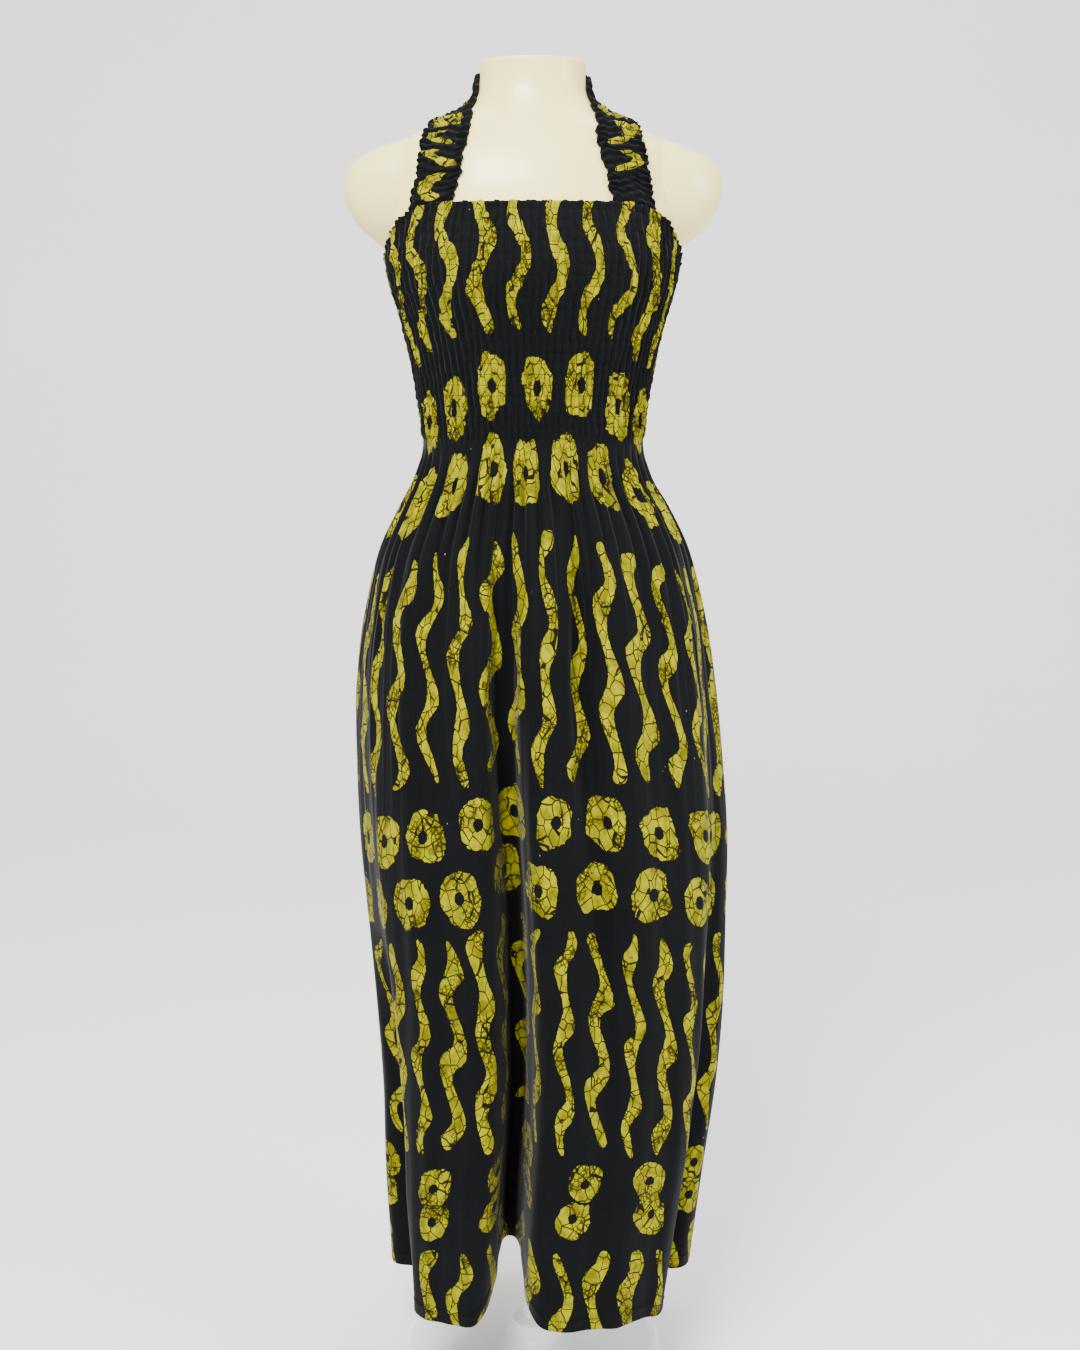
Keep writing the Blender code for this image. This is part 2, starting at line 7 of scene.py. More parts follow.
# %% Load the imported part
import functools
import bpy
import bmesh
import numpy as np
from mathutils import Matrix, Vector


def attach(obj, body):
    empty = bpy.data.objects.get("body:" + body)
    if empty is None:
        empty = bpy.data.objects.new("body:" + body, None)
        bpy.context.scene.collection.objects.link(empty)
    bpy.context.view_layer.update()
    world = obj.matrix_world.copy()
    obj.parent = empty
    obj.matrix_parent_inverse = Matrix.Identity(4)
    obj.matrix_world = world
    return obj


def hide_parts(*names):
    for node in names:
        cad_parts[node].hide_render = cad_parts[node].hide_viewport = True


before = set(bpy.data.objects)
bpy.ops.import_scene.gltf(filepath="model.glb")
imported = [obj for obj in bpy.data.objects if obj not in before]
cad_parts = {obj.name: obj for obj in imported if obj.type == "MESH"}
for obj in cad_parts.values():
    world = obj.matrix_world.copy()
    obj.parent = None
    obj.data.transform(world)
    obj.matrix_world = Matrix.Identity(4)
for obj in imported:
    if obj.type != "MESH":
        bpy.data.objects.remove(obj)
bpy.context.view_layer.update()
print("nodes", sorted(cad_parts))

# %% [markdown]
# ## The camera
#
# The dress was photographed from the height of its bodice, looking down by about eleven degrees. The lens
# is worked out from a picture 1350 pixels tall, which is the longer side.

# %% Camera
PITCH_DOWN, FOCAL_PIXELS, PICTURE_PIXELS, SENSOR_MM = 11.3, 1734, 1350, 36
lens_view = bpy.data.cameras.new("portrait_view")
lens_view.lens = SENSOR_MM * FOCAL_PIXELS / PICTURE_PIXELS
camera = bpy.data.objects.new("portrait_view", lens_view)
camera.location = (0.0075, -1.90, 1.20)
camera.rotation_euler = (np.radians(90 - PITCH_DOWN), 0, 0)
bpy.context.scene.collection.objects.link(camera)
bpy.context.scene.camera = camera
print("lens in mm", round(lens_view.lens, 2))

# %% [markdown]
# ## Small tools
#
# A dressmaker's block is a table of widths taken at measured heights. `read_table` reads such a table at
# any height with a smooth curve, so that a few rows are enough for a rounded figure.


# %% Tools for tables and waves
def read_table(table, column, height):
    """One column of a table at any height: a cubic from row to row, with the mean slope round each row."""
    rows = np.array(table, float)[::-1]
    at, value = rows[:, 0], rows[:, column]
    slope = np.gradient(value, at)
    height = np.clip(height, at[0], at[-1])
    k = np.clip(np.searchsorted(at, height) - 1, 0, len(at) - 2)
    step = at[k + 1] - at[k]
    t = (height - at[k]) / step
    start = value[k] * (2 * t**3 - 3 * t**2 + 1) + slope[k] * step * (t**3 - 2 * t**2 + t)
    end = value[k + 1] * (3 * t**2 - 2 * t**3) + slope[k + 1] * step * (t**3 - t**2)
    return start + end


def ease(value):
    """A soft step from 0 to 1: three times the square less twice the cube."""
    t = np.clip(value, 0, 1)
    return t * t * (3 - 2 * t)


def wobble(t):
    """An uneven wave between -1 and 1: three sines whose lengths never fall into step."""
    return 0.5 * np.sin(t) + 0.3 * np.sin(2.17 * t + 1.3) + 0.2 * np.sin(4.63 * t + 2.1)


def signed_power(value, power):
    """A power of the number's size, which keeps the number's own sign."""
    return np.sign(value) * np.abs(value) ** power


def run_along(line):
    """Distance travelled along each row of points, starting from nothing."""
    steps = np.linalg.norm(np.diff(line, axis=-2), axis=-1)
    start = np.zeros(steps.shape[:-1] + (1,))
    return np.concatenate([start, np.cumsum(steps, axis=-1)], axis=-1)


print("an eased half is", ease(0.5))

# %% [markdown]
# A surface is a grid of points. Each point is joined to its neighbours with four-sided faces, which look
# outwards when the rows run down and the columns run to the right, as seen from outside.


# %% Grids into meshes
SAME_POINT = 1e-6


def make_piece(name, points, faces):
    """Makes a smooth-shaded object at the origin from points and faces."""
    mesh = bpy.data.meshes.new(name)
    mesh.from_pydata(points.reshape(-1, 3), [], faces)
    mesh.shade_smooth()
    piece = bpy.data.objects.new(name, mesh)
    bpy.context.scene.collection.objects.link(piece)
    return piece


def grid_faces(number):
    """Four-sided faces between the rows and columns of a grid of point numbers."""
    corners = (number[:-1, :-1], number[1:, :-1], number[1:, 1:], number[:-1, 1:])
    return np.stack(corners, -1).reshape(-1, 4)


def turned_piece(name, points):
    """A surface whose last column joins on to its first, and whose first and last rows meet in a point."""
    rows, columns = points.shape[:2]
    number = np.arange(rows * columns).reshape(rows, columns)
    piece = make_piece(name, points, grid_faces(np.concatenate([number, number[:, :1]], axis=1)))
    work = bmesh.new()
    work.from_mesh(piece.data)
    bmesh.ops.remove_doubles(work, verts=work.verts, dist=SAME_POINT)
    work.to_mesh(piece.data)
    work.free()
    return piece


def finish_piece(piece, node, material):
    """Sets a piece on the part in place of its plain solid, with its finish."""
    piece.data.materials.append(material)
    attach(piece, "root")
    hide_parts(node)
    piece.data.calc_loop_triangles()
    print(piece.name, len(piece.data.loop_triangles), "triangles")


# %% [markdown]
# Cloth needs two faces and a rim. The outside carries all the small relief, so it is fine. The inside is
# seen only at the hem and the top edge, so it takes every second point. Each rim face has two outer edges
# and one inner edge.


# %% Cloth shells
def cloth_shell(name, outer, inner):
    """A closed sheet from an outer grid and an inner grid with half its rows and columns."""
    out_number = np.arange(outer[..., 0].size).reshape(outer.shape[:2])
    in_number = np.arange(inner[..., 0].size).reshape(inner.shape[:2]) + out_number.size
    rims = []
    borders = ((0, slice(None), 1), (-1, slice(None), -1), (slice(None), 0, -1), (slice(None), -1, 1))
    for row, column, way in borders:
        fine, coarse = out_number[row, column], in_number[row, column]
        rim = np.stack([fine[:-2:2], fine[1:-1:2], fine[2::2], coarse[1:], coarse[:-1]], -1)
        rims += rim[:, ::way].tolist()
    faces = [*grid_faces(out_number).tolist(), *grid_faces(in_number)[:, ::-1].tolist(), *rims]
    return make_piece(name, np.concatenate([outer.reshape(-1, 3), inner.reshape(-1, 3)]), faces)


def both_sides(grid):
    """Values at the points of a shell: the outer grid's, then every second one for the inner grid."""
    return np.concatenate([grid.reshape(-1), grid[::2, ::2].reshape(-1)])


# %% [markdown]
# ## The figure
#
# A dress form is moulded from a standard body: a stack of squared ovals. Each row gives a height, half the
# width, the depth to the front and to the back, and how square the oval is. The arm stubs are rounded
# lobes that are blended into the shoulders.

# %% Sizes of the form
NECK_TOP, FORM_BOTTOM, FORM_INSET = 1.473, 0.745, 0.0010
FORM_SECTIONS = (
    (1.473, 0.0565, 0.0500, 0.0620, 2.0),
    (1.452, 0.0565, 0.0500, 0.0620, 2.0),
    (1.438, 0.0600, 0.0520, 0.0660, 2.0),
    (1.427, 0.0690, 0.0560, 0.0710, 2.0),
    (1.418, 0.0840, 0.0600, 0.0750, 2.0),
    (1.409, 0.1050, 0.0650, 0.0790, 2.0),
    (1.399, 0.1270, 0.0700, 0.0830, 2.0),
    (1.388, 0.1430, 0.0760, 0.0870, 2.0),
    (1.370, 0.1490, 0.0840, 0.0910, 2.1),
    (1.345, 0.1495, 0.0940, 0.0950, 2.1),
    (1.320, 0.1495, 0.1060, 0.0970, 2.2),
    (1.295, 0.1505, 0.1160, 0.0970, 2.2),
    (1.270, 0.1525, 0.1215, 0.0960, 2.2),
    (1.245, 0.1490, 0.1205, 0.0940, 2.2),
    (1.215, 0.1392, 0.1120, 0.0910, 2.2),
    (1.180, 0.1310, 0.1020, 0.0880, 2.2),
    (1.145, 0.1240, 0.0950, 0.0860, 2.2),
    (1.110, 0.1190, 0.0920, 0.0860, 2.2),
    (1.075, 0.1172, 0.0920, 0.0880, 2.2),
    (1.040, 0.1200, 0.0930, 0.0920, 2.2),
    (0.990, 0.1360, 0.0950, 0.1020, 2.2),
    (0.930, 0.1550, 0.0980, 0.1150, 2.2),
    (0.870, 0.1620, 0.0960, 0.1200, 2.2),
    (0.810, 0.1580, 0.0860, 0.1120, 2.2),
    (0.765, 0.1480, 0.0740, 0.0960, 2.2),
    (0.745, 0.1400, 0.0680, 0.0870, 2.2),
)
# Height, reach from the axis, half depth and offset to the back.
STUB_SECTIONS = (
    (1.402, 0.1080, 0.0140, 0.006),
    (1.396, 0.1370, 0.0270, 0.006),
    (1.388, 0.1620, 0.0370, 0.006),
    (1.377, 0.1850, 0.0430, 0.006),
    (1.363, 0.1975, 0.0480, 0.006),
    (1.346, 0.2015, 0.0500, 0.007),
    (1.327, 0.1985, 0.0480, 0.009),
    (1.307, 0.1870, 0.0420, 0.013),
    (1.292, 0.1710, 0.0340, 0.018),
    (1.278, 0.1520, 0.0240, 0.022),
    (1.262, 0.1300, 0.0120, 0.024),
)
# Where the stub's oval has its middle, and how wide its joint with the torso is.
STUB_ROOT, STUB_BLEND = 0.105, 0.004
# The rounding of the neck's edge, the step in of the underside, where close rows end and wide ones start,
# and how strongly columns crowd to the sides.
FORM_LIP, UNDERSIDE_STEP, ARMPIT_END, HIPS_START, SIDE_CROWDING = 0.003, 0.002, 1.255, 1.25, 0.2


# %% The form's surface
def form_share(points):
    """How far out a point is: the squared-oval sum of x over half width and y over depth, 1 on the skin."""
    x, y, z = np.moveaxis(points, -1, 0)
    half_width, front, back, squareness = (read_table(FORM_SECTIONS, k, z) for k in (1, 2, 3, 4))
    depth = np.where(y < 0, front, back)
    return (np.abs(x / half_width) ** squareness + np.abs(y / depth) ** squareness) ** (1 / squareness)


def form_radius(angle, height):
    """Distance from the axis to the skin: the torso's oval and the stub's oval, softly joined."""
    half_width, front, back, squareness = (read_table(FORM_SECTIONS, k, height) for k in (1, 2, 3, 4))
    sine, cosine = np.sin(angle), np.cos(angle)
    depth = np.where(cosine > 0, front, back)
    oval = np.abs(sine / half_width) ** squareness + np.abs(cosine / depth) ** squareness
    torso = oval ** (-1 / squareness)
    reach, half_depth, offset = (read_table(STUB_SECTIONS, k, height) for k in (1, 2, 3))
    half_length = reach - STUB_ROOT
    a = (sine / half_length) ** 2 + (cosine / half_depth) ** 2
    b = -np.abs(sine) * STUB_ROOT / half_length**2 + cosine * offset / half_depth**2
    c = (STUB_ROOT / half_length) ** 2 + (offset / half_depth) ** 2 - 1
    root = b**2 - a * c
    stub = np.where(root > 0, (-b + np.sqrt(np.maximum(root, 0))) / a, 0)
    here = (height <= STUB_SECTIONS[0][0]) & (height >= STUB_SECTIONS[-1][0])
    mix = np.where(here, np.clip(0.5 + (stub - torso) / (2 * STUB_BLEND), 0, 1), 0)
    return torso + (stub - torso) * mix + STUB_BLEND * mix * (1 - mix)


def form_grid(rows, columns):
    """The skin from the middle of the neck's top, down and in again under the hips.

    Rows are closer together above the armpit and columns at the sides, where the arm stubs need them. The
    neck's upper edge is a quarter circle.
    """
    upper = np.linspace(NECK_TOP - FORM_LIP, ARMPIT_END, rows)
    lower = np.linspace(HIPS_START, FORM_BOTTOM, rows // 2)
    height = np.concatenate([upper, lower])
    angle = np.linspace(-np.pi, np.pi, columns, endpoint=False)
    angle = angle + SIDE_CROWDING * np.sin(2 * angle)
    radius = form_radius(angle[None], height[:, None]) - FORM_INSET
    lip = np.linspace(0, np.pi / 2, 6)[:, None]
    lip_radius = radius[:1] - FORM_LIP * (1 - np.sin(lip))
    lip_height = NECK_TOP - FORM_LIP * (1 - np.cos(lip[:, 0]))
    middle = np.zeros((1, columns))
    radius = np.concatenate([middle, lip_radius, radius, radius[-1:] - UNDERSIDE_STEP, middle])
    height = np.concatenate([[NECK_TOP], lip_height, height, [FORM_BOTTOM] * 2])
    z = np.broadcast_to(height[:, None], radius.shape)
    return np.stack([radius * np.sin(angle), -radius * np.cos(angle), z], -1)


form_skin = form_grid(150, 200)
form_moulding = turned_piece("form_moulding", form_skin)
print("shoulder width", round(2 * float(form_skin[..., 0].max()), 3), "m")

# %% [markdown]
# ## The cloth's path round the figure
#
# A gathered skirt is a wide tube hung from a narrow waist, so its spare width falls into folds. Each fold
# is a valley pushed into an oval: flat at its floor, fading to either side. The section is then rounded by
# a bell curve, because cotton never turns a sharp corner, and it is kept clear of the form.

# %% Sizes of the cloth
WALL, EASE, SEAM_GAP = 0.0014, 0.0006, 0.0003
SHIRRING_END, FOLD_TOP, HIP, MID_SKIRT, HEM = 1.088, 1.058, 0.90, 0.55, 0.108
GATHER_DEPTH, GATHER_FADE, FOLD_ROUNDING, ROUNDING_RUN = 0.0080, 0.84, 0.0055, 0.10
# How far under the form the cloth is still kept off it, and the hem's slow wave.
FORM_GUARD, HEM_WAVE = 0.03, 0.004
# Height, half width, front, back, squareness and shift to the right.
SKIRT_SECTIONS = (
    (1.059, 0.1205, 0.0950, 0.0925, 2.2, 0.0000),
    (1.038, 0.1265, 0.1010, 0.0985, 2.2, 0.0000),
    (1.016, 0.1400, 0.1090, 0.1060, 2.2, 0.0010),
    (0.994, 0.1525, 0.1170, 0.1130, 2.2, 0.0015),
    (0.972, 0.1640, 0.1240, 0.1190, 2.2, 0.0015),
    (0.927, 0.1796, 0.1350, 0.1290, 2.2, 0.0020),
    (0.880, 0.1910, 0.1430, 0.1360, 2.2, 0.0025),
    (0.815, 0.2007, 0.1500, 0.1420, 2.2, 0.0035),
    (0.723, 0.2071, 0.1560, 0.1460, 2.25, 0.0080),
    (0.629, 0.2096, 0.1600, 0.1480, 2.3, 0.0130),
    (0.533, 0.2058, 0.1620, 0.1480, 2.35, 0.0167),
    (0.436, 0.2026, 0.1640, 0.1480, 2.4, 0.0197),
    (0.336, 0.1969, 0.1650, 0.1470, 2.45, 0.0192),
    (0.235, 0.1906, 0.1660, 0.1460, 2.5, 0.0134),
    (0.100, 0.1800, 0.1660, 0.1430, 2.5, 0.0085),
)
# Place at the hip and at the hem in turns from the centre front, half width, depth at the hip, at mid
# skirt and at the hem, heading of the push in degrees, and lift of the hem.
SKIRT_FOLDS = (
    (-0.030, -0.033, 0.0155, 0.034, 0.100, 0.150, 0, 0.040),
    (0.212, 0.186, 0.0300, 0.008, 0.026, 0.080, -62, 0.006),
    (-0.212, -0.190, 0.0280, 0.005, 0.012, 0.075, 62, 0.004),
    (0.043, 0.050, 0.0120, 0.026, 0.016, 0.004, 0, 0.000),
    (-0.100, -0.092, 0.0200, 0.009, 0.006, 0.005, 0, 0.003),
    (0.118, 0.100, 0.0170, 0.011, 0.006, 0.006, 0, 0.003),
    (-0.165, -0.128, 0.0150, 0.008, 0.004, 0.003, 0, 0.000),
    (0.318, 0.300, 0.0200, 0.014, 0.042, 0.052, 225, 0.004),
    (0.412, 0.400, 0.0210, 0.012, 0.056, 0.080, 184, 0.010),
    (-0.498, -0.488, 0.0170, 0.014, 0.034, 0.044, 180, 0.004),
    (-0.420, -0.405, 0.0200, 0.010, 0.052, 0.074, 176, 0.008),
    (-0.325, -0.310, 0.0190, 0.014, 0.040, 0.050, 135, 0.004),
)
# Degrees round from the centre front, and height.
TOP_EDGE = (
    (0, 1.3260),
    (44, 1.3255),
    (54, 1.3210),
    (64, 1.3120),
    (74, 1.2970),
    (82, 1.2830),
    (90, 1.2700),
    (104, 1.2620),
    (130, 1.2590),
    (180, 1.2580),
)
# Turns of the hem that a fold lifts, for each metre of its half width.
LIFT_SPREAD = 1.3
# Points round the cloth, which is a multiple of four.
AROUND = 2880


# %% Level sections of the cloth
def envelope(height):
    """Half width, front, back, squareness and shift of the unfolded cloth: the form's own plus the wall."""
    room = EASE + WALL
    snug = np.maximum(height, SHIRRING_END)
    on_form = [read_table(FORM_SECTIONS, k, snug) for k in (1, 2, 3, 4)]
    waist = [float(read_table(FORM_SECTIONS, k, SHIRRING_END)) for k in (1, 2, 3, 4)]
    hung = ((SHIRRING_END, *(size + room for size in waist[:3]), waist[3], 0.0), *SKIRT_SECTIONS)
    bodice = [size + room for size in on_form[:3]] + [on_form[3], 0 * snug]
    return [np.where(height >= SHIRRING_END, bodice[k], read_table(hung, k + 1, height)) for k in range(5)]


def valley(distance):
    """A fold's cross section: one over one plus the fourth power of the distance in half widths."""
    return 1 / (1 + distance**4)


def resample(line, along, at):
    """Each row of points read again at other distances along it."""
    rows = [np.stack([np.interp(a, s, column) for column in p.T], -1) for p, s, a in zip(line, along, at)]
    return np.stack(rows)


def soften(ring, width):
    """Rounds closed rows of evenly spaced points: each wave shrinks by a bell curve of its frequency."""
    count = ring.shape[1] - 1
    step = np.linalg.norm(np.diff(ring, axis=1), axis=2).mean(1)[:, None]
    waves = np.fft.rfftfreq(count)[None] / step
    damping = np.exp(-2 * (np.pi * width * waves) ** 2)[..., None]
    smooth = np.fft.irfft(np.fft.rfft(ring[:, :-1], axis=1) * damping, count, axis=1)
    return np.concatenate([smooth, smooth[:, :1]], axis=1)


def cloth_rings(heights):
    """The cloth's outside at many heights: points from the centre back round, and their turns."""
    height = np.asarray(heights, float)[:, None]
    angle = np.linspace(-np.pi, np.pi, AROUND + 1)[None]
    half_width, front, back, squareness, shift = envelope(height)
    depth = np.where(np.cos(angle) > 0, front, back)
    x = shift + half_width * signed_power(np.sin(angle), 2 / squareness)
    ring = np.stack([x, -depth * signed_power(np.cos(angle), 2 / squareness)], -1)
    along = run_along(ring)
    quarter = np.minimum(np.arange(AROUND + 1) // (AROUND // 4), 3)
    marks = along[:, :: AROUND // 4]
    turn = (quarter + (along - marks[:, quarter]) / (marks[:, quarter + 1] - marks[:, quarter])) / 4 - 0.5
    down = np.clip((HIP - height) / (HIP - HEM), 0, 1)
    for at_hip, at_hem, half, hip, mid, hem, heading, _ in SKIRT_FOLDS:
        push = np.interp(height, (HEM, MID_SKIRT, HIP, FOLD_TOP), (hem, mid, hip, 0))
        away = ((turn - at_hip - (at_hem - at_hip) * down + 0.5) % 1 - 0.5) * along[:, -1:]
        way = np.radians(heading)
        ring = ring + (push * valley(away / half))[..., None] * (np.sin(way), np.cos(way))
    along = run_along(ring)
    even = np.linspace(0, 1, AROUND + 1)[None] * along[:, -1:]
    ring = resample(np.concatenate([ring, turn[..., None]], -1), along, even)
    turn = ring[..., 2]
    ring = soften(ring[..., :2], FOLD_ROUNDING * ease((SHIRRING_END - height) / ROUNDING_RUN))
    points = np.concatenate([ring, np.broadcast_to(height[..., None], ring.shape[:2] + (1,))], -1)
    radius = np.linalg.norm(ring, axis=-1)
    least = np.where(height > FORM_BOTTOM - FORM_GUARD, radius / form_share(points) + EASE + WALL, 0)
    return ring * (np.maximum(radius, least) / radius)[..., None], turn


def outward_of(ring):
    """Directions straight out of closed rows of points: the forward direction turned a quarter right."""
    ahead = np.roll(ring[:, :-1], -1, axis=1) - np.roll(ring[:, :-1], 1, axis=1)
    ahead = np.concatenate([ahead, ahead[:, :1]], axis=1)
    ahead /= np.linalg.norm(ahead, axis=-1, keepdims=True)
    return np.stack([ahead[..., 1], -ahead[..., 0]], -1)


ABOVE_TOP, BELOW_HEM = 1.335, 0.085
LEVELS = np.linspace(ABOVE_TOP, BELOW_HEM, 190)
rings, turns = cloth_rings(LEVELS)
print("distance round at the hem", round(float(run_along(rings)[-1, -1]), 3), "m")

# %% [markdown]
# ## Two panels with one grid each
#
# The front and the back are each one length of cloth from the top edge to the hem. A column of the grid
# is a thread line of the cloth. Its place is the mean of two measures, the share of the cloth to its left
# and the share of the turn, so the print neither crowds nor stretches where a fold is deep.

# %% Columns of a panel
COLUMNS, SPARE_TURN = 352, 0.001


def panel_table(first_turn):
    """Points, outward directions and turns of a panel's columns at all the levels."""
    out = outward_of(rings)
    twice = [np.concatenate([a, a[:, 1:] + b], axis=1) for a, b in ((rings, 0), (out, 0), (turns, 1))]
    share = np.linspace(0, 1, COLUMNS + 1)
    rows = []
    for ring, direction, turn in zip(*twice):
        keep = (turn > first_turn - SPARE_TURN) & (turn < first_turn + 0.5 + SPARE_TURN)
        ring, direction, turn = ring[keep], direction[keep], turn[keep]
        along = run_along(ring)
        ends = np.interp((first_turn, first_turn + 0.5), turn, along)
        gap = SEAM_GAP / 2 / (ends[1] - ends[0])
        by_cloth = (along - ends[0]) / (ends[1] - ends[0])
        by_turn = (turn - first_turn) * 2
        place = np.clip(share, gap, 1 - gap)
        values = np.column_stack([ring, direction, turn])
        rows.append([np.interp(place, (by_cloth + by_turn) / 2, column) for column in values.T])
    return np.moveaxis(np.array(rows), 1, -1)


def top_edge(turn):
    """Height of the top edge: straight across the front, falling under the arms to the back."""
    degrees = np.abs((turn + 0.5) % 1 - 0.5) * 360
    return np.interp(degrees, *zip(*TOP_EDGE))


def hem_height(turn):
    """Height of the hem: a slow wave, and each fold's own lift."""
    height = HEM + HEM_WAVE * np.sin(6 * np.pi * turn + 0.8)
    for _, at_hem, half, *_, lift in SKIRT_FOLDS:
        height = height + lift * valley(((turn - at_hem + 0.5) % 1 - 0.5) / (half * LIFT_SPREAD))
    return height


def read_levels(table, height):
    """A table of columns read at a grid of heights, between the two nearest levels."""
    place = (LEVELS[0] - height) / (LEVELS[0] - LEVELS[-1]) * (len(LEVELS) - 1)
    upper = np.clip(place.astype(int), 0, len(LEVELS) - 2)
    share = (place - upper)[..., None]
    column = np.arange(height.shape[1])[None]
    return table[upper, column] * (1 - share) + table[upper + 1, column] * share


# %% [markdown]
# ## Shirring, gathers and soft creases
#
# Shirring is rows of stretched elastic thread, sewn about eleven millimetres apart in front and eight at
# the back, and then let go. The cloth stands up in small puckers, which each row draws a little lower.
# Below the last row the same fullness runs out into gathers, which fade down the skirt at different
# heights. All of these are waves of the thread lines, added outwards to the smooth path.

# %% Relief of the cloth
ELASTIC_ROWS, STRIP_STEPS, HEADING_STEPS, SKIRT_STEPS = 21, 5, 4, 106
PUCKERS, PUCKER_HEIGHT, GATHERS = 50, 0.0042, 27
# The heading's height in strips, and the frill's steady lift, its wave outwards and its wave upwards.
HEADING, FRILL_LIFT, FRILL_WAVE, FRILL_RISE = 0.7, 0.0016, 0.0012, 0.0014
# Height above the hem's edge, relief and stitching number of the last rows. The third is the stitched one.
HEM_STEPS = (
    (0.0165, 0.0000, 0.60),
    (0.0150, 0.0007, 0.75),
    (0.0130, 0.0003, 1.00),
    (0.0015, 0.0007, 1.60),
    (0.0000, 0.0003, 1.70),
)
# The hem rows' room, the share of the width over which relief fades at a side seam, and how far the inner
# face lies inside the smooth path.
HEM_ROOM, SEAM_FADE, INSIDE_DEPTH = 0.020, 0.010, 0.0009
# The gathers' start under the last elastic, the run over which they deepen, the height from which they
# fade, and how uneven the heights are at which they end.
GATHER_START, GATHER_RUN, GATHER_FULL, FADE_SPREAD = 0.006, 0.045, 1.05, 0.075
# Where creases start, the run over which they deepen, and the depth of the broad ones and the fine ones.
CREASE_TOP, CREASE_RUN, BROAD_CREASE, FINE_CREASE = 1.05, 0.2, 0.0020, 0.0014


def pucker_phase(strip, column):
    """Where a thread line is in its pucker, in radians: it slides a little from strip to strip."""
    number = np.floor(strip)
    slide = 0.4 * np.sin(number * 2.4)
    return 2 * np.pi * PUCKERS * column + slide + 1.1 * wobble(60 * column + number * 0.9)


def shirring(strip, column):
    """Height of the puckers: a wave across the cloth, drawn lower at each elastic row."""
    between = np.abs(np.sin(np.pi * strip)) ** 0.75
    wave = 0.5 - 0.5 * np.cos(pucker_phase(strip, column))
    uneven = 0.72 + 0.28 * wobble(61 * column + np.floor(strip) * 0.8)
    return PUCKER_HEIGHT * (0.75 + 0.25 * between) * wave * uneven


def gather_phase(column):
    """Where a thread line is in its gather, in radians: evenly spaced, with an uneven wave added."""
    return 2 * np.pi * GATHERS * column + 1.6 * wobble(17 * column)


def gather_strength(height, column):
    """How deep the gathers are, from 0 to 1: they start under the elastic and end at uneven heights."""
    fade_to = GATHER_FADE + FADE_SPREAD * wobble(29 * column + 0.4)
    start = ease((SHIRRING_END - GATHER_START - height) / GATHER_RUN)
    return start * ease((height - fade_to) / (GATHER_FULL - fade_to))


def gathers(height, column):
    """Relief of the gathers: sharp valleys and round ridges."""
    ridge = np.abs(np.sin(gather_phase(column) / 2)) ** 0.8
    return GATHER_DEPTH * gather_strength(height, column) * (ridge - 0.35)


def creases(height, column):
    """Long soft creases that drift as they fall: broad ones to the hem and finer ones to mid skirt."""
    down = ease((CREASE_TOP - height) / CREASE_RUN)
    drift = 0.8 * wobble(5 * height + 4 * column)
    broad = wobble(2 * np.pi * 6 * column + drift)
    fine = wobble(2 * np.pi * 19 * column + 2 * drift + 1.0) * ease((height - 0.5) / 0.4)
    return down * (BROAD_CREASE * broad + FINE_CREASE * fine)


# %% [markdown]
# A panel's rows follow its weft: a frilled heading above the first elastic, five rows from each elastic to
# the next, and then the skirt. The last rows lie close together and make the hem, which is turned up
# fifteen millimetres and stitched two millimetres under the turning's edge. The inner face follows the
# gathers and creases but not the puckers, so the wall is thicker in the bodice, as drawn-up cloth is.


# %% Rows of a panel
def panel_grid(first_turn):
    """A panel's outer and inner points, and at each outer point its column, height and stitching number."""
    table = panel_table(first_turn)
    column = np.linspace(0, 1, COLUMNS + 1)[None]
    hem = hem_height(read_levels(table, np.full((1, COLUMNS + 1), HEM))[..., 4])
    heading_strips = np.linspace(-HEADING, 0, HEADING_STEPS + 1)[:-1]
    strip = np.concatenate([heading_strips, np.arange(ELASTIC_ROWS * STRIP_STEPS + 1) / STRIP_STEPS])[:, None]
    top = top_edge(first_turn + column / 2)
    bodice = top + (SHIRRING_END - top) * (strip + HEADING) / (ELASTIC_ROWS + HEADING)
    share = np.linspace(0, 1, SKIRT_STEPS + 1)[1:, None] ** 1.1
    skirt = SHIRRING_END + (HEM + HEM_ROOM - SHIRRING_END) * share + (hem - HEM) * share**2
    above_hem, hem_relief, hem_stitching = np.array(HEM_STEPS).T[..., None]
    skirt = np.concatenate([skirt, hem + above_hem])
    height = np.concatenate([bodice, skirt])

    laid = read_levels(table, height)
    seam = ease(np.minimum(column, 1 - column) / SEAM_FADE)
    heading = ease(-strip / HEADING)
    frill = heading * (FRILL_LIFT + FRILL_WAVE * wobble(4.4 * PUCKERS * column))
    under = gathers(skirt, column) + creases(skirt, column)
    under[-len(HEM_STEPS) :] += hem_relief
    relief = np.concatenate([shirring(strip, column) + frill, under]) * seam
    smooth = np.concatenate([0 * bodice, under * seam])
    path, outward, up = laid[..., :2], laid[..., 2:4], height[..., None]
    outer = np.concatenate([path + outward * relief[..., None], up], -1)
    inner = np.concatenate([path + outward * (smooth[..., None] - INSIDE_DEPTH), up], -1)
    outer[: len(strip), :, 2] += FRILL_RISE * heading * wobble(3.1 * PUCKERS * column)

    # Whole stitching numbers get a dark thread line in the print, which on the elastic rows is also painted
    # shade. The skirt's half number gets none.
    plain = np.full((SKIRT_STEPS, 1), ELASTIC_ROWS + 0.5)
    stitching = np.concatenate([strip, plain, ELASTIC_ROWS + hem_stitching])
    return outer, inner[::2, ::2], np.broadcast_arrays(column, height, stitching)


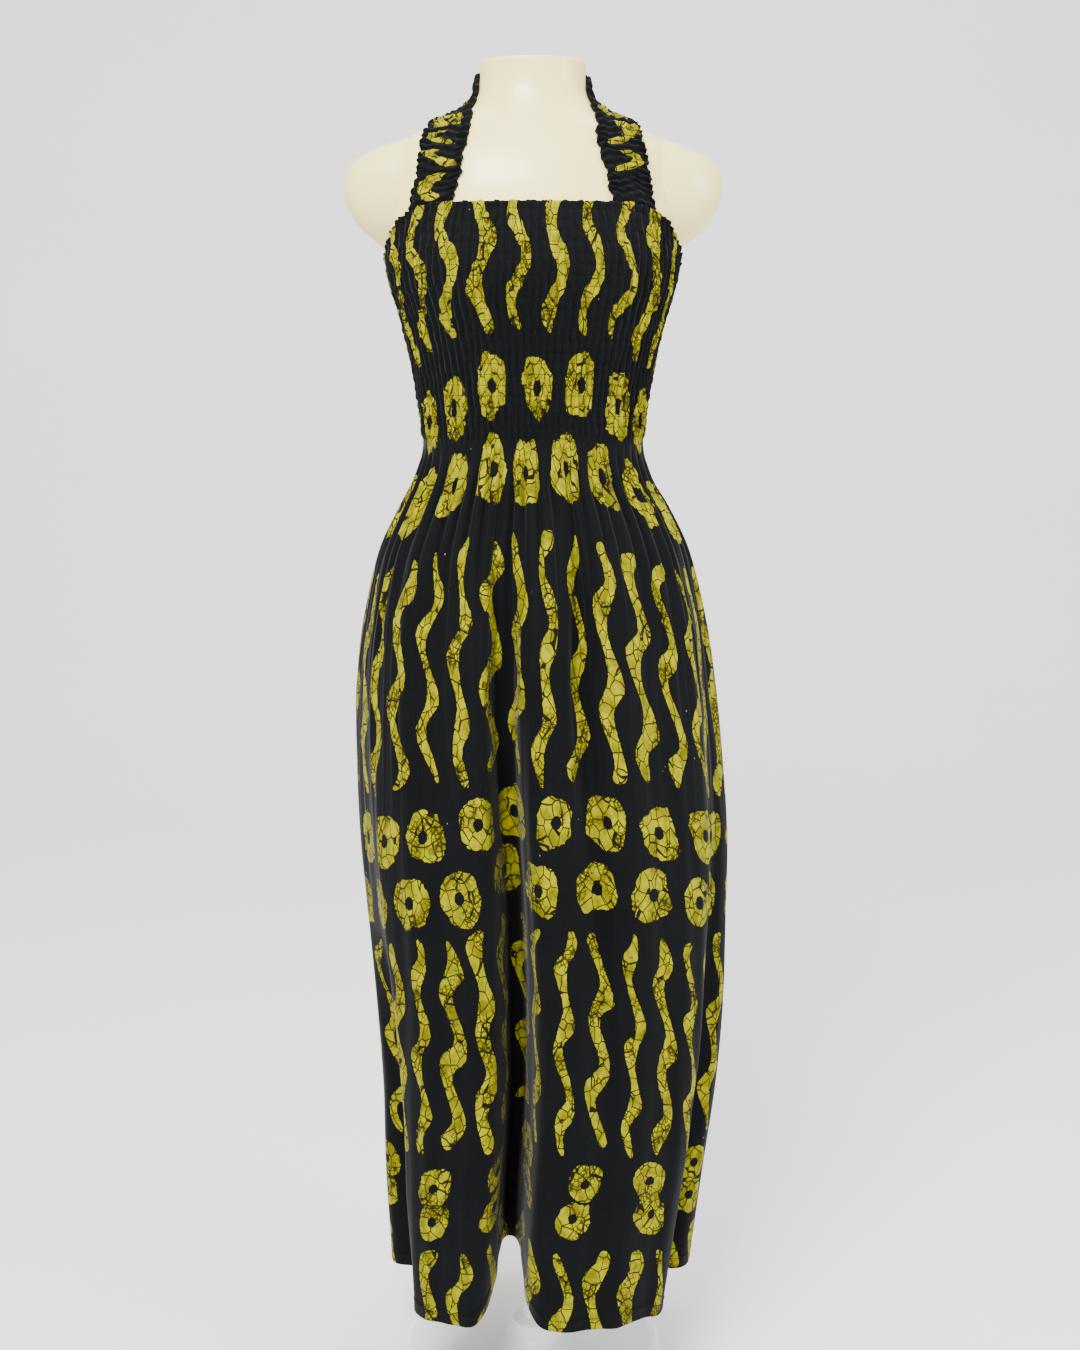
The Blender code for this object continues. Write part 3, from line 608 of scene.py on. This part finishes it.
# %% [markdown]
# ## The print's own coordinates
#
# Wax prints repeat in level bands: rows of wavy lines, of rings and of rings in pairs. The cloth was cut
# straight, and the bust lifts it in front, so the bands fall by fifty millimetres towards the sides. Each
# face belongs to one band. Its corners carry three numbers for the shader: how many motifs lie to the left,
# how far up the band the corner is from -1 to 1, and how many waves a line has made. The last number also
# drifts from line to line, so that neighbours aren't alike.

# %% Bands of the print
LINES, RINGS, PAIRS = 0.0, 1.0, 2.0
# Kind, middle height, half height, motifs across a panel, waves along a line, drift and shift.
PRINT_BANDS = (
    (LINES, 1.2790, 0.0850, 11.5, 1.9, 0.03, 0.15),
    (RINGS, 1.1400, 0.0420, 8.0, 1.0, 0.0, 0.42),
    (RINGS, 1.0560, 0.0420, 9.0, 1.0, 0.0, 0.10),
    (LINES, 0.8640, 0.1330, 15.5, 2.7, 0.31, 0.30),
    (RINGS, 0.6920, 0.0365, 10.5, 1.0, 0.0, 0.75),
    (RINGS, 0.6180, 0.0370, 10.0, 1.0, 0.0, 0.30),
    (LINES, 0.4510, 0.1300, 17.5, 2.9, 0.37, 0.55),
    (PAIRS, 0.2720, 0.0500, 8.5, 1.0, 0.0, 0.35),
    (LINES, 0.1450, 0.0690, 17.5, 1.4, 0.29, 0.20),
)
SIDE_DIP, BACK_DIP = 0.050, 0.068
# A step in the count from band to band, so that each band has random numbers of its own.
BAND_COUNT = 40
# How far the valleys of puckers and gathers draw the print together: 0 is not at all.
PUCKER_DRAW, GATHER_DRAW = 0.55, 0.88


def print_height(first_turn, column, height):
    """Height on the flat print: the dip grows with the cubed sine of the way round to the side."""
    side = np.abs(np.sin(2 * np.pi * (first_turn + column / 2))) ** 3
    centre = 0.0 if first_turn < 0 else BACK_DIP
    return height + centre + (SIDE_DIP - centre) * side


def drawn_up(column, height, stitching):
    """The column where the print is: the cloth in the valleys of puckers and gathers takes more of it."""
    in_bodice = ease((height - SHIRRING_END + 0.01) / 0.02)
    pucker = np.sin(pucker_phase(np.minimum(stitching, ELASTIC_ROWS), column)) / (2 * np.pi * PUCKERS)
    gather = np.sin(gather_phase(column)) / (2 * np.pi * GATHERS)
    gather = gather * gather_strength(height, column)
    return column + PUCKER_DRAW * in_bodice * pucker + GATHER_DRAW * gather


def carry_print(piece, column, level, cloth, stitching, bands):
    """Writes the print's coordinates on the face corners, each face taking the band nearest its middle."""
    mesh = piece.data
    kind, middle, half, across, waves, drift, shift = np.array(bands).T
    point, size = np.empty(len(mesh.loops), np.int32), np.empty(len(mesh.polygons), np.int32)
    mesh.loops.foreach_get("vertex_index", point)
    mesh.polygons.foreach_get("loop_total", size)
    face = np.repeat(np.arange(len(size)), size)
    centre = np.bincount(face, weights=level[point]) / size
    band = np.argmin(np.abs(centre[:, None] - middle) - half, axis=1)[face]
    place = (level[point] - middle[band]) / half[band]
    count = across[band] * column[point] + shift[band]
    motif = np.stack([count + BAND_COUNT * band, place, place * waves[band] / 2 + drift[band] * count], -1)
    mesh.attributes.new("motif", "FLOAT_VECTOR", "CORNER").data.foreach_set("vector", motif.ravel())
    mesh.attributes.new("motif_kind", "FLOAT", "CORNER").data.foreach_set("value", kind[band])
    mesh.attributes.new("stitching", "FLOAT", "POINT").data.foreach_set("value", stitching)
    mesh.uv_layers.new(name="cloth").data.foreach_set("uv", cloth[point].ravel())


# %% [markdown]
# ## Colours and nodes
#
# A screen colour is a code, and light is a linear amount, so one function turns the one into the other.
# One helper adds any node: its kind, perhaps with an operation, its inputs in order and its settings.


# %% Colours and one node helper
def linear(code):
    """A screen colour's red, green and blue as amounts of light, with alpha: the sRGB curve undone."""
    screen = [int(code[k : k + 2], 16) / 255 for k in (1, 3, 5)]
    return (*(s / 12.92 if s <= 0.04045 else ((s + 0.055) / 1.055) ** 2.4 for s in screen), 1.0)


def add_node(tree, kind, *values, take=0, **settings):
    """Adds a node and returns one output. Sockets among the values are linked, and None skips an input."""
    kind, *operation = kind.split()
    node = tree.nodes.new("ShaderNode" + kind)
    if operation:
        node.operation = operation[0]
    for name, setting in settings.items():
        setattr(node, name, setting)
    for entry, value in zip(node.inputs, values):
        if isinstance(value, bpy.types.NodeSocket):
            tree.links.new(value, entry)
        elif value is not None:
            entry.default_value = value
    return node.outputs[take]


def new_material(name):
    """An empty material, with its node tree, a short form of add_node for it, and its principled shader."""
    material = bpy.data.materials.new(name)
    material.use_nodes = True
    tree = material.node_tree
    return material, tree, functools.partial(add_node, tree), tree.nodes["Principled BSDF"]


print("mid grey as light", round(linear("#808080")[0], 3))

# %% [markdown]
# ## The printed cotton
#
# Wax print is a plain-weave cotton. Molten wax is stamped on in lines, cracked by hand, and the dye runs
# into the cracks as dark veins. To the eye it is matt, with yellow that never lies flat: each patch is
# cut up by a net of veins a millimetre wide, open in one place and dense in another. The net is made of
# the borders of Voronoi cells. The yellow's own outline is worked out from the coordinates of the print.

# %% Wavy lines and rings
DYE_BLACK, BLUE_BLACK, PALE_FLECK = linear("#060606"), linear("#0b0d0f"), linear("#6d6f62")
WAX_YELLOW, DEEP_YELLOW = linear("#8c8800"), linear("#5e5a00")
# The thread's near black is also painted shade: on the elastic rows it stands for the shadow in the pinched
# cloth.
VEIN_BROWN, THREAD_AND_ROW_SHADE = linear("#150f04"), linear("#060607")


def wavy_line(add, across, place, waves, random, ragged):
    """1 on a wavy line: within a swelling half width of two added sines, tapered to rounded ends.

    Lengths across are shares of the room from one line to the next.
    """
    phase = add("Math MULTIPLY", add("Math MULTIPLY_ADD", random[0], 0.3, waves), 2 * np.pi)
    slow = add("Math SINE", add("Math MULTIPLY_ADD", phase, 0.43, random[1]))
    swing = add("Math MULTIPLY", add("Math SINE", phase), add("Math MULTIPLY_ADD", random[2], 0.10, 0.12))
    middle = add("Math MULTIPLY_ADD", slow, 0.06, swing)
    swell = add("Math SINE", add("Math MULTIPLY_ADD", phase, 1.7, add("Math MULTIPLY", random[1], 6.0)))
    half = add("Math MULTIPLY_ADD", swell, 0.032, add("Math MULTIPLY_ADD", random[1], 0.10, 0.122))
    end = add("Math MULTIPLY_ADD", random[2], 0.10, add("Math ABSOLUTE", place))
    taper = add("Math SUBTRACT", 1.0, add("Math POWER", end, 14.0))
    half = add("Math MULTIPLY", half, add("Math SQRT", add("Math MAXIMUM", taper, 0.0)))
    off = add("Math ABSOLUTE", add("Math SUBTRACT", across, middle))
    inside = add("Math SUBTRACT", add("Math MULTIPLY_ADD", ragged, 0.09, half), off)
    return add("Math MULTIPLY", add("Math GREATER_THAN", inside, 0.0), add("Math GREATER_THAN", taper, 0.0))


def ring_shape(add, x, y, random, ragged, blot):
    """1 on a rough ring: a squared oval of reach one, bent by noise, less a round eye."""
    powers = [add("Math POWER", add("Math ABSOLUTE", way), 2.5) for way in (x, y)]
    reach = add("Math POWER", add("Math ADD", *powers), 0.4)
    reach = add("Math MULTIPLY_ADD", ragged, 0.25, add("Math MULTIPLY_ADD", blot, 0.75, reach))
    rim = add("Math LESS_THAN", reach, add("Math MULTIPLY_ADD", random[2], 0.10, 0.88))
    eye_x = add("Math MULTIPLY_ADD", random[1], 0.24, add("Math SUBTRACT", x, 0.12))
    eye = add("Math SQRT", add("Math ADD", add("Math POWER", eye_x, 2.0), add("Math POWER", y, 2.0)))
    eye = add("Math MULTIPLY_ADD", ragged, 0.18, eye)
    return add("Math MULTIPLY", rim, add("Math GREATER_THAN", eye, 0.25)), reach


def crackle(add, cloth):
    """How much of a vein there is, from 0 to 1: an open net everywhere and a fine net in patches."""
    bend = add("TexNoise", cloth, None, 32.0, 1.0, 0.5, take=1)
    bent = add("MixRGB", 0.012, cloth, bend, blend_type="ADD")
    patch = add("TexNoise", cloth, None, 21.0, 2.0, 0.6)
    wide = add("TexVoronoi", bent, None, 62.0, feature="DISTANCE_TO_EDGE")
    fine = add("TexVoronoi", bent, None, 165.0, feature="DISTANCE_TO_EDGE")
    wide = add("Math LESS_THAN", wide, add("Math MULTIPLY_ADD", patch, 0.052, 0.016))
    fine = add("Math LESS_THAN", fine, add("MapRange", patch, 0.49, 0.60, 0.0, 0.105))
    return add("Math MAXIMUM", wide, add("Math MULTIPLY", fine, 0.85))


# %% [markdown]
# A sewing thread is half a millimetre thick, so it is drawn a millimetre wide to show, with a stitch every
# 3.6 mm. On the elastic rows and the straps' elastic lines the dark thread line is also painted shade, for
# the shadow in the pinched cloth. The weave has a thread every 0.3 mm. That is too fine for any render of
# the whole dress, so it is drawn five times as coarse and very shallow.

# %% The cotton's material
STITCH, THREAD_SHARE, WEAVE_THREAD, WEAVE_DEPTH = 0.0036, 0.05, 0.0015, 0.00010


def wax_print():
    """Black cotton with yellow lines and rings, each broken by dark crackle."""
    material, tree, add, surface = new_material("wax_print_plain_weave_cotton")
    motif = add("Attribute", attribute_name="motif", take="Vector")
    kind = add("Attribute", attribute_name="motif_kind", take="Fac")
    stitching = add("Attribute", attribute_name="stitching", take="Fac")
    cloth = add("UVMap", uv_map="cloth")
    count, place, waves = add("SeparateXYZ", motif).node.outputs
    across = add("Math SUBTRACT", add("Math FRACT", count), 0.5)
    chance = add("TexWhiteNoise", None, add("Math FLOOR", count), noise_dimensions="1D", take="Color")
    random = add("SeparateXYZ", chance).node.outputs
    ragged = add("Math SUBTRACT", add("TexNoise", cloth, None, 130.0, 3.0, 0.6), 0.5)
    blot = add("Math SUBTRACT", add("TexNoise", cloth, None, 28.0, 1.0, 0.5), 0.5)

    line = wavy_line(add, across, place, waves, random, ragged)
    # A single ring fills its band. In a pair both are narrower and half as tall, with the upper on top.
    pair = add("Math GREATER_THAN", kind, 1.5)
    width = add("Math MULTIPLY_ADD", pair, -0.11, 0.37)
    size = add("Math MULTIPLY_ADD", pair, -0.36, 0.82)
    lean = add("Math MULTIPLY_ADD", random[0], 0.14, -0.07)
    place = add("Math ADD", place, add("Math MULTIPLY_ADD", random[1], 0.30, -0.15))
    x = add("Math DIVIDE", add("Math ADD", across, lean), width)
    y = add("Math DIVIDE", add("Math MULTIPLY_ADD", pair, -0.40, place), size)
    upper, upper_reach = ring_shape(add, x, y, random, ragged, blot)
    x = add("Math DIVIDE", add("Math SUBTRACT", across, lean), width)
    y = add("Math DIVIDE", add("Math MULTIPLY_ADD", pair, 0.40, place), size)
    lower, _ = ring_shape(add, x, y, random, ragged, blot)
    behind = add("Math MULTIPLY", pair, add("Math GREATER_THAN", upper_reach, 1.0))
    ring = add("Math MAXIMUM", upper, add("Math MULTIPLY", lower, behind))
    yellow = add("MixRGB", add("Math GREATER_THAN", kind, 0.5), line, ring)

    tone = add("MapRange", add("TexNoise", cloth, None, 48.0, 3.0, 0.6), 0.36, 0.60, 0.0, 1.0)
    ink = add("MixRGB", crackle(add, cloth), add("MixRGB", tone, DEEP_YELLOW, WAX_YELLOW), VEIN_BROWN)
    ground = add("MixRGB", add("TexNoise", cloth, None, 8.0, 2.0, 0.5), DYE_BLACK, BLUE_BLACK)
    fleck = add("Math LESS_THAN", add("TexVoronoi", cloth, None, 24.0, feature="F1"), 0.024)
    ground = add("MixRGB", fleck, ground, PALE_FLECK)
    dyed = add("MixRGB", yellow, ground, ink)
    u, v, _ = add("SeparateXYZ", cloth).node.outputs
    # Dark stitches where the stitching number is whole: thread at the hem, and on the elastic rows thread
    # that is also painted shade for the pinched cloth.
    dash = add("Math LESS_THAN", add("Math FRACT", add("Math MULTIPLY", u, 1 / STITCH)), 0.5)
    row = add("Math LESS_THAN", add("Math PINGPONG", stitching, 0.5), THREAD_SHARE)
    thread = add("Math MULTIPLY", row, dash)
    tree.links.new(add("MixRGB", thread, dyed, THREAD_AND_ROW_SHADE), surface.inputs["Base Color"])

    pace = 2 * np.pi / (2 * WEAVE_THREAD)
    warp, weft = (add("Math SINE", add("Math MULTIPLY", way, pace)) for way in (u, v))
    raised = add("Math MULTIPLY_ADD", thread, 2.0, add("Math MULTIPLY", warp, weft))
    relief = add("Bump", 0.35, WEAVE_DEPTH)
    tree.links.new(raised, relief.node.inputs["Height"])
    tree.links.new(relief, surface.inputs["Normal"])
    surface.inputs["Roughness"].default_value = 0.78
    surface.inputs["Specular IOR Level"].default_value = 0.05
    surface.inputs["Sheen Weight"].default_value = 0.05
    surface.inputs["Sheen Roughness"].default_value = 0.4
    return material


wax_print_cotton = wax_print()
print("nodes in the print", len(wax_print_cotton.node_tree.nodes))

# %% [markdown]
# ## Sewing the panels
#
# A maker joins the two lengths at the sides before putting in the elastic. Each panel here is a thin shell
# in the place of its solid. The cut sizes come from the widest ring of the skirt and the length from the
# top edge to the hem.

# %% Front and back panels
# Width and length of the cloth that shows.
PANEL_CUT = {"dress_front": (0.91, 1.25), "dress_back": (0.82, 1.17)}
# Where the back's cloth starts on the printed length, so that its crackle isn't the front's.
BACK_CLOTH = 1.37


def sew_panel(name, node, first_turn):
    """Makes one panel from its grid, with its print spread over its cut width."""
    outer, inner, (column, height, stitching) = panel_grid(first_turn)
    piece = cloth_shell(name, outer, inner)
    width = PANEL_CUT[node][0]
    level = both_sides(print_height(first_turn, column, height))
    across = both_sides(drawn_up(column, height, stitching))
    cloth = np.stack([across * width + (0 if first_turn < 0 else BACK_CLOTH), level], -1)
    carry_print(piece, across, level, cloth, both_sides(stitching), PRINT_BANDS)
    finish_piece(piece, node, wax_print_cotton)


sew_panel("front_panel", "dress_front", -0.25)
sew_panel("back_panel", "dress_back", 0.25)

# %% [markdown]
# ## The halter straps
#
# Each strap is a strip half as long again as it looks, drawn up on lines of elastic so that its edges
# frill. It is laid on the form by moving every point along the skin's slope until it lies on the skin.

# %% Straps
# The left strap's inner edge and outer edge, each as x, y and height, from the bodice to the nape.
STRAP_EDGES = (
    (-0.0805, -0.0905, 1.3260, -0.1240, -0.0620, 1.3140),
    (-0.0735, -0.0820, 1.3480, -0.1205, -0.0570, 1.3450),
    (-0.0670, -0.0740, 1.3750, -0.1160, -0.0530, 1.3740),
    (-0.0630, -0.0600, 1.4000, -0.1125, -0.0360, 1.3975),
    (-0.0600, -0.0320, 1.4290, -0.1030, -0.0060, 1.4110),
    (-0.0575, 0.0020, 1.4590, -0.0870, 0.0330, 1.4140),
    (-0.0480, 0.0380, 1.4670, -0.0635, 0.0600, 1.4170),
    (-0.0270, 0.0590, 1.4685, -0.0335, 0.0740, 1.4200),
    (-0.0002, 0.0640, 1.4690, -0.0002, 0.0770, 1.4220),
)
# Kind, middle and half length of each motif, from the bodice at 0 to the nape at 1, for both straps.
STRAP_PRINT = {
    -1: (
        (LINES, 0.095, 0.065),
        (LINES, 0.225, 0.045),
        (LINES, 0.325, 0.040),
        (RINGS, 0.435, 0.065),
        (LINES, 0.730, 0.200),
    ),
    1: (
        (LINES, 0.210, 0.050),
        (LINES, 0.350, 0.070),
        (RINGS, 0.490, 0.050),
        (LINES, 0.750, 0.190),
    ),
}
STRAP_CUT, STRAP_PRINT_LENGTH, STRAP_WAVES = (0.06, 0.38), 0.42, 0.8
STRAP_STEPS, STRAP_COLUMNS, RUCHES, ELASTIC_LINES = 340, 48, 31, 4
# The gap to the skin, half the thinnest wall, the ruches' floor and height above it, and how much more the
# edges rise with the ruches and between them.
STRAP_GAP, HALF_WALL, RUCHE_FLOOR, RUCHE_HEIGHT = 0.0004, 0.0003, 0.0012, 0.0042
EDGE_RISE, EDGE_SWAY = 0.0020, 0.0010
# The share of the length over which the foot is drawn down, how far it goes under the bodice's top edge,
# and the shares between which it thins.
FOOT_SHARE, FOOT_DEPTH, FOOT_THIN, FOOT_FULL = 0.06, 0.006, 0.018, 0.030
# The height of the cloth's level section in front of the feet.
FOOT_RING = 1.32


def lay_on_form(points, gap):
    """Moves points along the skin's slope until they are a gap outside it, and gives the ways outward.

    The slope is the difference of the share half a millimetre to either side, and the step is the share's
    distance from 1 divided by the slope's size, taken six times.
    """
    reach = 0.0005
    for _ in range(6):
        steps = reach * np.eye(3)
        slope = np.stack([form_share(points + s) - form_share(points - s) for s in steps], -1) / (2 * reach)
        size = np.linalg.norm(slope, axis=-1, keepdims=True)
        outward = slope / size
        points = points - ((form_share(points) - 1)[..., None] / size - gap) * outward
    return points, outward


def foot_height(points):
    """Height of the bodice's top edge over points of the chest, by the turn of the cloth in front of them."""
    ring, turn = (table[0, 1:-1] for table in cloth_rings([FOOT_RING]))
    around = np.arctan2(ring[:, 0], -ring[:, 1])
    return top_edge(np.interp(np.arctan2(points[..., 0], -points[..., 1]), around, turn))


def strap_grid(side):
    """A strap's outer and inner points, with its across and along shares and its stitching number.

    The left strap is worked out from the bodice to the nape. The rows are then turned to run down, and the
    right strap's are mirrored. The outer face rises in ruches, which are a wave of uneven beat along the
    strap. They are lower on the lines of elastic, which are both edges and three lines between. The edges
    sway in and out and rise a little more.
    """
    along = np.linspace(0, 1, STRAP_STEPS + 1)[:, None]
    across = np.linspace(0, 1, STRAP_COLUMNS + 1)[None]
    stations = np.linspace(1, 0, len(STRAP_EDGES))
    edges = np.column_stack([stations, np.array(STRAP_EDGES)[::-1]])
    path = [read_table(edges, k + 1, along)[..., None] for k in range(6)]
    inner_edge, outer_edge = np.concatenate(path[:3], -1), np.concatenate(path[3:], -1)
    edge = np.abs(2 * across - 1) ** 3
    beat = 2 * np.pi * RUCHES * along
    beat = beat + 2.6 * wobble(11 * along + 4 * across + side) + 2.2 * wobble(6 * across + side)
    ripple = 0.045 * wobble(23 * along + 2 * across + side) + 0.03 * wobble(beat * 0.47) - 0.03
    ripple = np.sign(across - 0.5) * edge * ripple
    share = (across + ripple * ease((1 - along) / 0.05))[..., None]
    laid, _ = lay_on_form(inner_edge * (1 - share) + outer_edge * share, STRAP_GAP)
    wave = 0.5 - 0.5 * np.cos(beat)
    pinch = 0.40 + 0.60 * np.abs(np.sin(np.pi * ELASTIC_LINES * across))
    uneven = 0.7 + 0.3 * wobble(43 * along + 9 * across + side)
    frill = edge * (EDGE_RISE * wave + EDGE_SWAY * wobble(17 * along + side))
    relief = RUCHE_FLOOR + RUCHE_HEIGHT * pinch * uneven * wave + frill
    # The foot ends behind the bodice's frilled edge, thin and close to the form.
    tuck = ease((FOOT_SHARE - along) / FOOT_SHARE)
    laid[..., 2] += tuck * (foot_height(laid[:1]) - FOOT_DEPTH - laid[:1, :, 2])
    laid, outward = lay_on_form(laid, STRAP_GAP)
    thick = 1 - ease((FOOT_FULL - along) / (FOOT_FULL - FOOT_THIN))
    sheets = [laid + outward * (relief * thick + HALF_WALL)[..., None], laid - outward * HALF_WALL]
    for sheet in sheets:
        sheet[-1, :, 0] = -SEAM_GAP / 2
    drawn = along + 0.5 * np.sin(beat) / (2 * np.pi * RUCHES)
    # Whole stitching numbers on the lines of elastic get a dark thread line in the print, which is also
    # painted shade.
    values = np.broadcast_arrays(across, drawn, ELASTIC_LINES * across)
    if side > 0:
        sheets = [sheet[::-1] * (-1, 1, 1) for sheet in sheets]
        values = [value[::-1] for value in values]
    else:
        sheets = [sheet[::-1, ::-1] for sheet in sheets]
        values = [value[::-1, ::-1] for value in values]
    return sheets[0], sheets[1][::2, ::2], values


def sew_strap(name, node, side):
    """Makes one strap: short lines of the print along its middle, and a ring near the shoulder."""
    outer, inner, (across, along, stitching) = strap_grid(side)
    piece = cloth_shell(name, outer, inner)
    across, along = both_sides(across), both_sides(along)
    cloth = np.stack([across * STRAP_CUT[0] + 3 + side, along * STRAP_PRINT_LENGTH], -1)
    bands = [(*motif, 1.0, STRAP_WAVES, 0.0, 7.0 + side) for motif in STRAP_PRINT[side]]
    carry_print(piece, across, along, cloth, both_sides(stitching), bands)
    finish_piece(piece, node, wax_print_cotton)


sew_strap("halter_strap_left", "strap_left", -1)
sew_strap("halter_strap_right", "strap_right", 1)

# %% [markdown]
# ## The form's skin
#
# The form is moulded in glass-filled polyester and sprayed with a cream gloss lacquer. To the eye it is
# smooth with a soft highlight, and a faint orange-peel ripple two to three millimetres across.


# %% Cream lacquer
CREAM_LACQUER = linear("#e8d982"), linear("#f2e594")


def cream_lacquer():
    """Cream gloss lacquer: nearly even colour, an orange-peel bump and a thin clear coat."""
    material, tree, add, surface = new_material("cream_gloss_lacquer")
    place = add("TexCoord", take="Object")
    colour = add("MixRGB", add("TexNoise", place, None, 9.0, 2.0, 0.5), *CREAM_LACQUER)
    tree.links.new(colour, surface.inputs["Base Color"])
    relief = add("Bump", 0.15, 0.0001)
    tree.links.new(add("TexNoise", place, None, 420.0, 1.0, 0.5), relief.node.inputs["Height"])
    tree.links.new(relief, surface.inputs["Normal"])
    surface.inputs["Roughness"].default_value = 0.36
    surface.inputs["IOR"].default_value = 1.5
    surface.inputs["Coat Weight"].default_value = 0.25
    surface.inputs["Coat Roughness"].default_value = 0.15
    return material


finish_piece(form_moulding, "form_torso", cream_lacquer())

# %% [markdown]
# ## The stand
#
# A steel tube stands in a pressed steel plate, both in white powder enamel. They are turned shapes, so a
# short profile is carried round the axis.


# %% Pole and base
WHITE_ENAMEL = linear("#dededb"), linear("#ececea")


def white_enamel():
    """White powder coat on steel: bright, fairly glossy, with a fine pebble."""
    material, tree, add, surface = new_material("white_powder_enamel")
    place = add("TexCoord", take="Object")
    colour = add("MixRGB", add("TexNoise", place, None, 14.0, 2.0, 0.5), *WHITE_ENAMEL)
    tree.links.new(colour, surface.inputs["Base Color"])
    relief = add("Bump", 0.2, 0.00008)
    tree.links.new(add("TexNoise", place, None, 900.0, 1.0, 0.5), relief.node.inputs["Height"])
    tree.links.new(relief, surface.inputs["Normal"])
    surface.inputs["Roughness"].default_value = 0.32
    return material


def turned(name, profile, sides):
    """Carries a profile of radius and height round the axis, from the top down on the outside."""
    radius, height = np.array(profile).T
    angle = np.linspace(-np.pi, np.pi, sides, endpoint=False)[None]
    x, y = radius[:, None] * np.sin(angle), -radius[:, None] * np.cos(angle)
    piece = turned_piece(name, np.stack([x, y, np.broadcast_to(height[:, None], x.shape)], -1))
    piece.data.set_sharp_from_angle(angle=np.radians(40))
    return piece


# Radius and height, from the middle of the top round the rim to the middle of the underside.
BASE_PROFILE = (
    (0.0, 0.034),
    (0.022, 0.034),
    (0.0255, 0.0325),
    (0.0265, 0.030),
    (0.028, 0.016),
    (0.031, 0.0125),
    (0.036, 0.010),
    (0.138, 0.006),
    (0.147, 0.005),
    (0.1495, 0.003),
    (0.1500, 0.0015),
    (0.149, 0.0),
    (0.0, 0.0),
)
enamel = white_enamel()
stand_base = turned("stand_base", BASE_PROFILE, 128)
finish_piece(stand_base, "form_base", enamel)
POLE_PROFILE = ((0.0, 0.7447), (0.0125, 0.7447), (0.0125, 0.0343), (0.0, 0.0343))
stand_pole = turned("stand_pole", POLE_PROFILE, 64)
finish_piece(stand_pole, "form_pole", enamel)

# %% [markdown]
# ## Floor and light
#
# The dress was shot against pale card under soft frontal light. One sheet runs along the floor and curves
# up behind, and three large area lights stand for soft boxes.


# %% Pale sweep
SWEEP_FRONT, BEND_START, BEND_RADIUS, SWEEP_TOP, SWEEP_HALF_WIDTH = -5.0, 2.2, 1.2, 6.0, 6.0


def pale_sweep():
    """A floor that curves up into a wall: a straight run, a quarter circle and a straight rise."""
    bend = np.linspace(0, np.pi / 2, 24)
    curve = BEND_START + BEND_RADIUS * np.sin(bend)
    depth = np.concatenate([[SWEEP_FRONT], curve, curve[-1:]])
    height = np.concatenate([[0], BEND_RADIUS - BEND_RADIUS * np.cos(bend), [SWEEP_TOP]])
    across = np.array([[-SWEEP_HALF_WIDTH], [SWEEP_HALF_WIDTH]])
    x, y, z = np.broadcast_arrays(across, depth[None], height[None])
    return np.stack([x, y, z], -1)


def pale_card():
    """Matt white card, very slightly cloudy."""
    material, tree, add, surface = new_material("pale_card")
    speckle = add("TexNoise", add("TexCoord", take="Object"), None, 3.0, 2.0, 0.5)
    colour = add("MixRGB", speckle, linear("#f4f3f2"), linear("#f8f7f6"))
    tree.links.new(colour, surface.inputs["Base Color"])
    surface.inputs["Roughness"].default_value = 0.9
    return material


sweep_points = pale_sweep()[:, ::-1]
sweep_number = np.arange(sweep_points[..., 0].size).reshape(sweep_points.shape[:2])
sweep = make_piece("pale_sweep", sweep_points, grid_faces(sweep_number))
sweep.data.materials.append(pale_card())


# %% Soft boxes
def soft_box(name, place, aim, size, watts):
    """An area light at a place, turned to look at a point."""
    lamp = bpy.data.lights.new(name, "AREA")
    lamp.shape = "RECTANGLE"
    lamp.size, lamp.size_y = size
    lamp.energy = watts
    box = bpy.data.objects.new(name, lamp)
    bpy.context.scene.collection.objects.link(box)
    box.location = place
    box.rotation_euler = Vector(np.subtract(aim, place)).to_track_quat("-Z", "Y").to_euler()


soft_box("key", (-0.6, -1.7, 2.7), (0, 0, 1.2), (1.0, 1.0), 150)
soft_box("fill", (2.6, -1.1, 1.5), (0, 0, 0.9), (0.9, 1.8), 60)
soft_box("top", (0.0, 0.4, 3.2), (0, 0, 1.0), (1.6, 1.2), 35)
world = bpy.data.worlds.new("studio")
bpy.context.scene.world = world
world.use_nodes = True
world.node_tree.nodes["Background"].inputs["Color"].default_value = linear("#f2f3f5")
world.node_tree.nodes["Background"].inputs["Strength"].default_value = 1.5
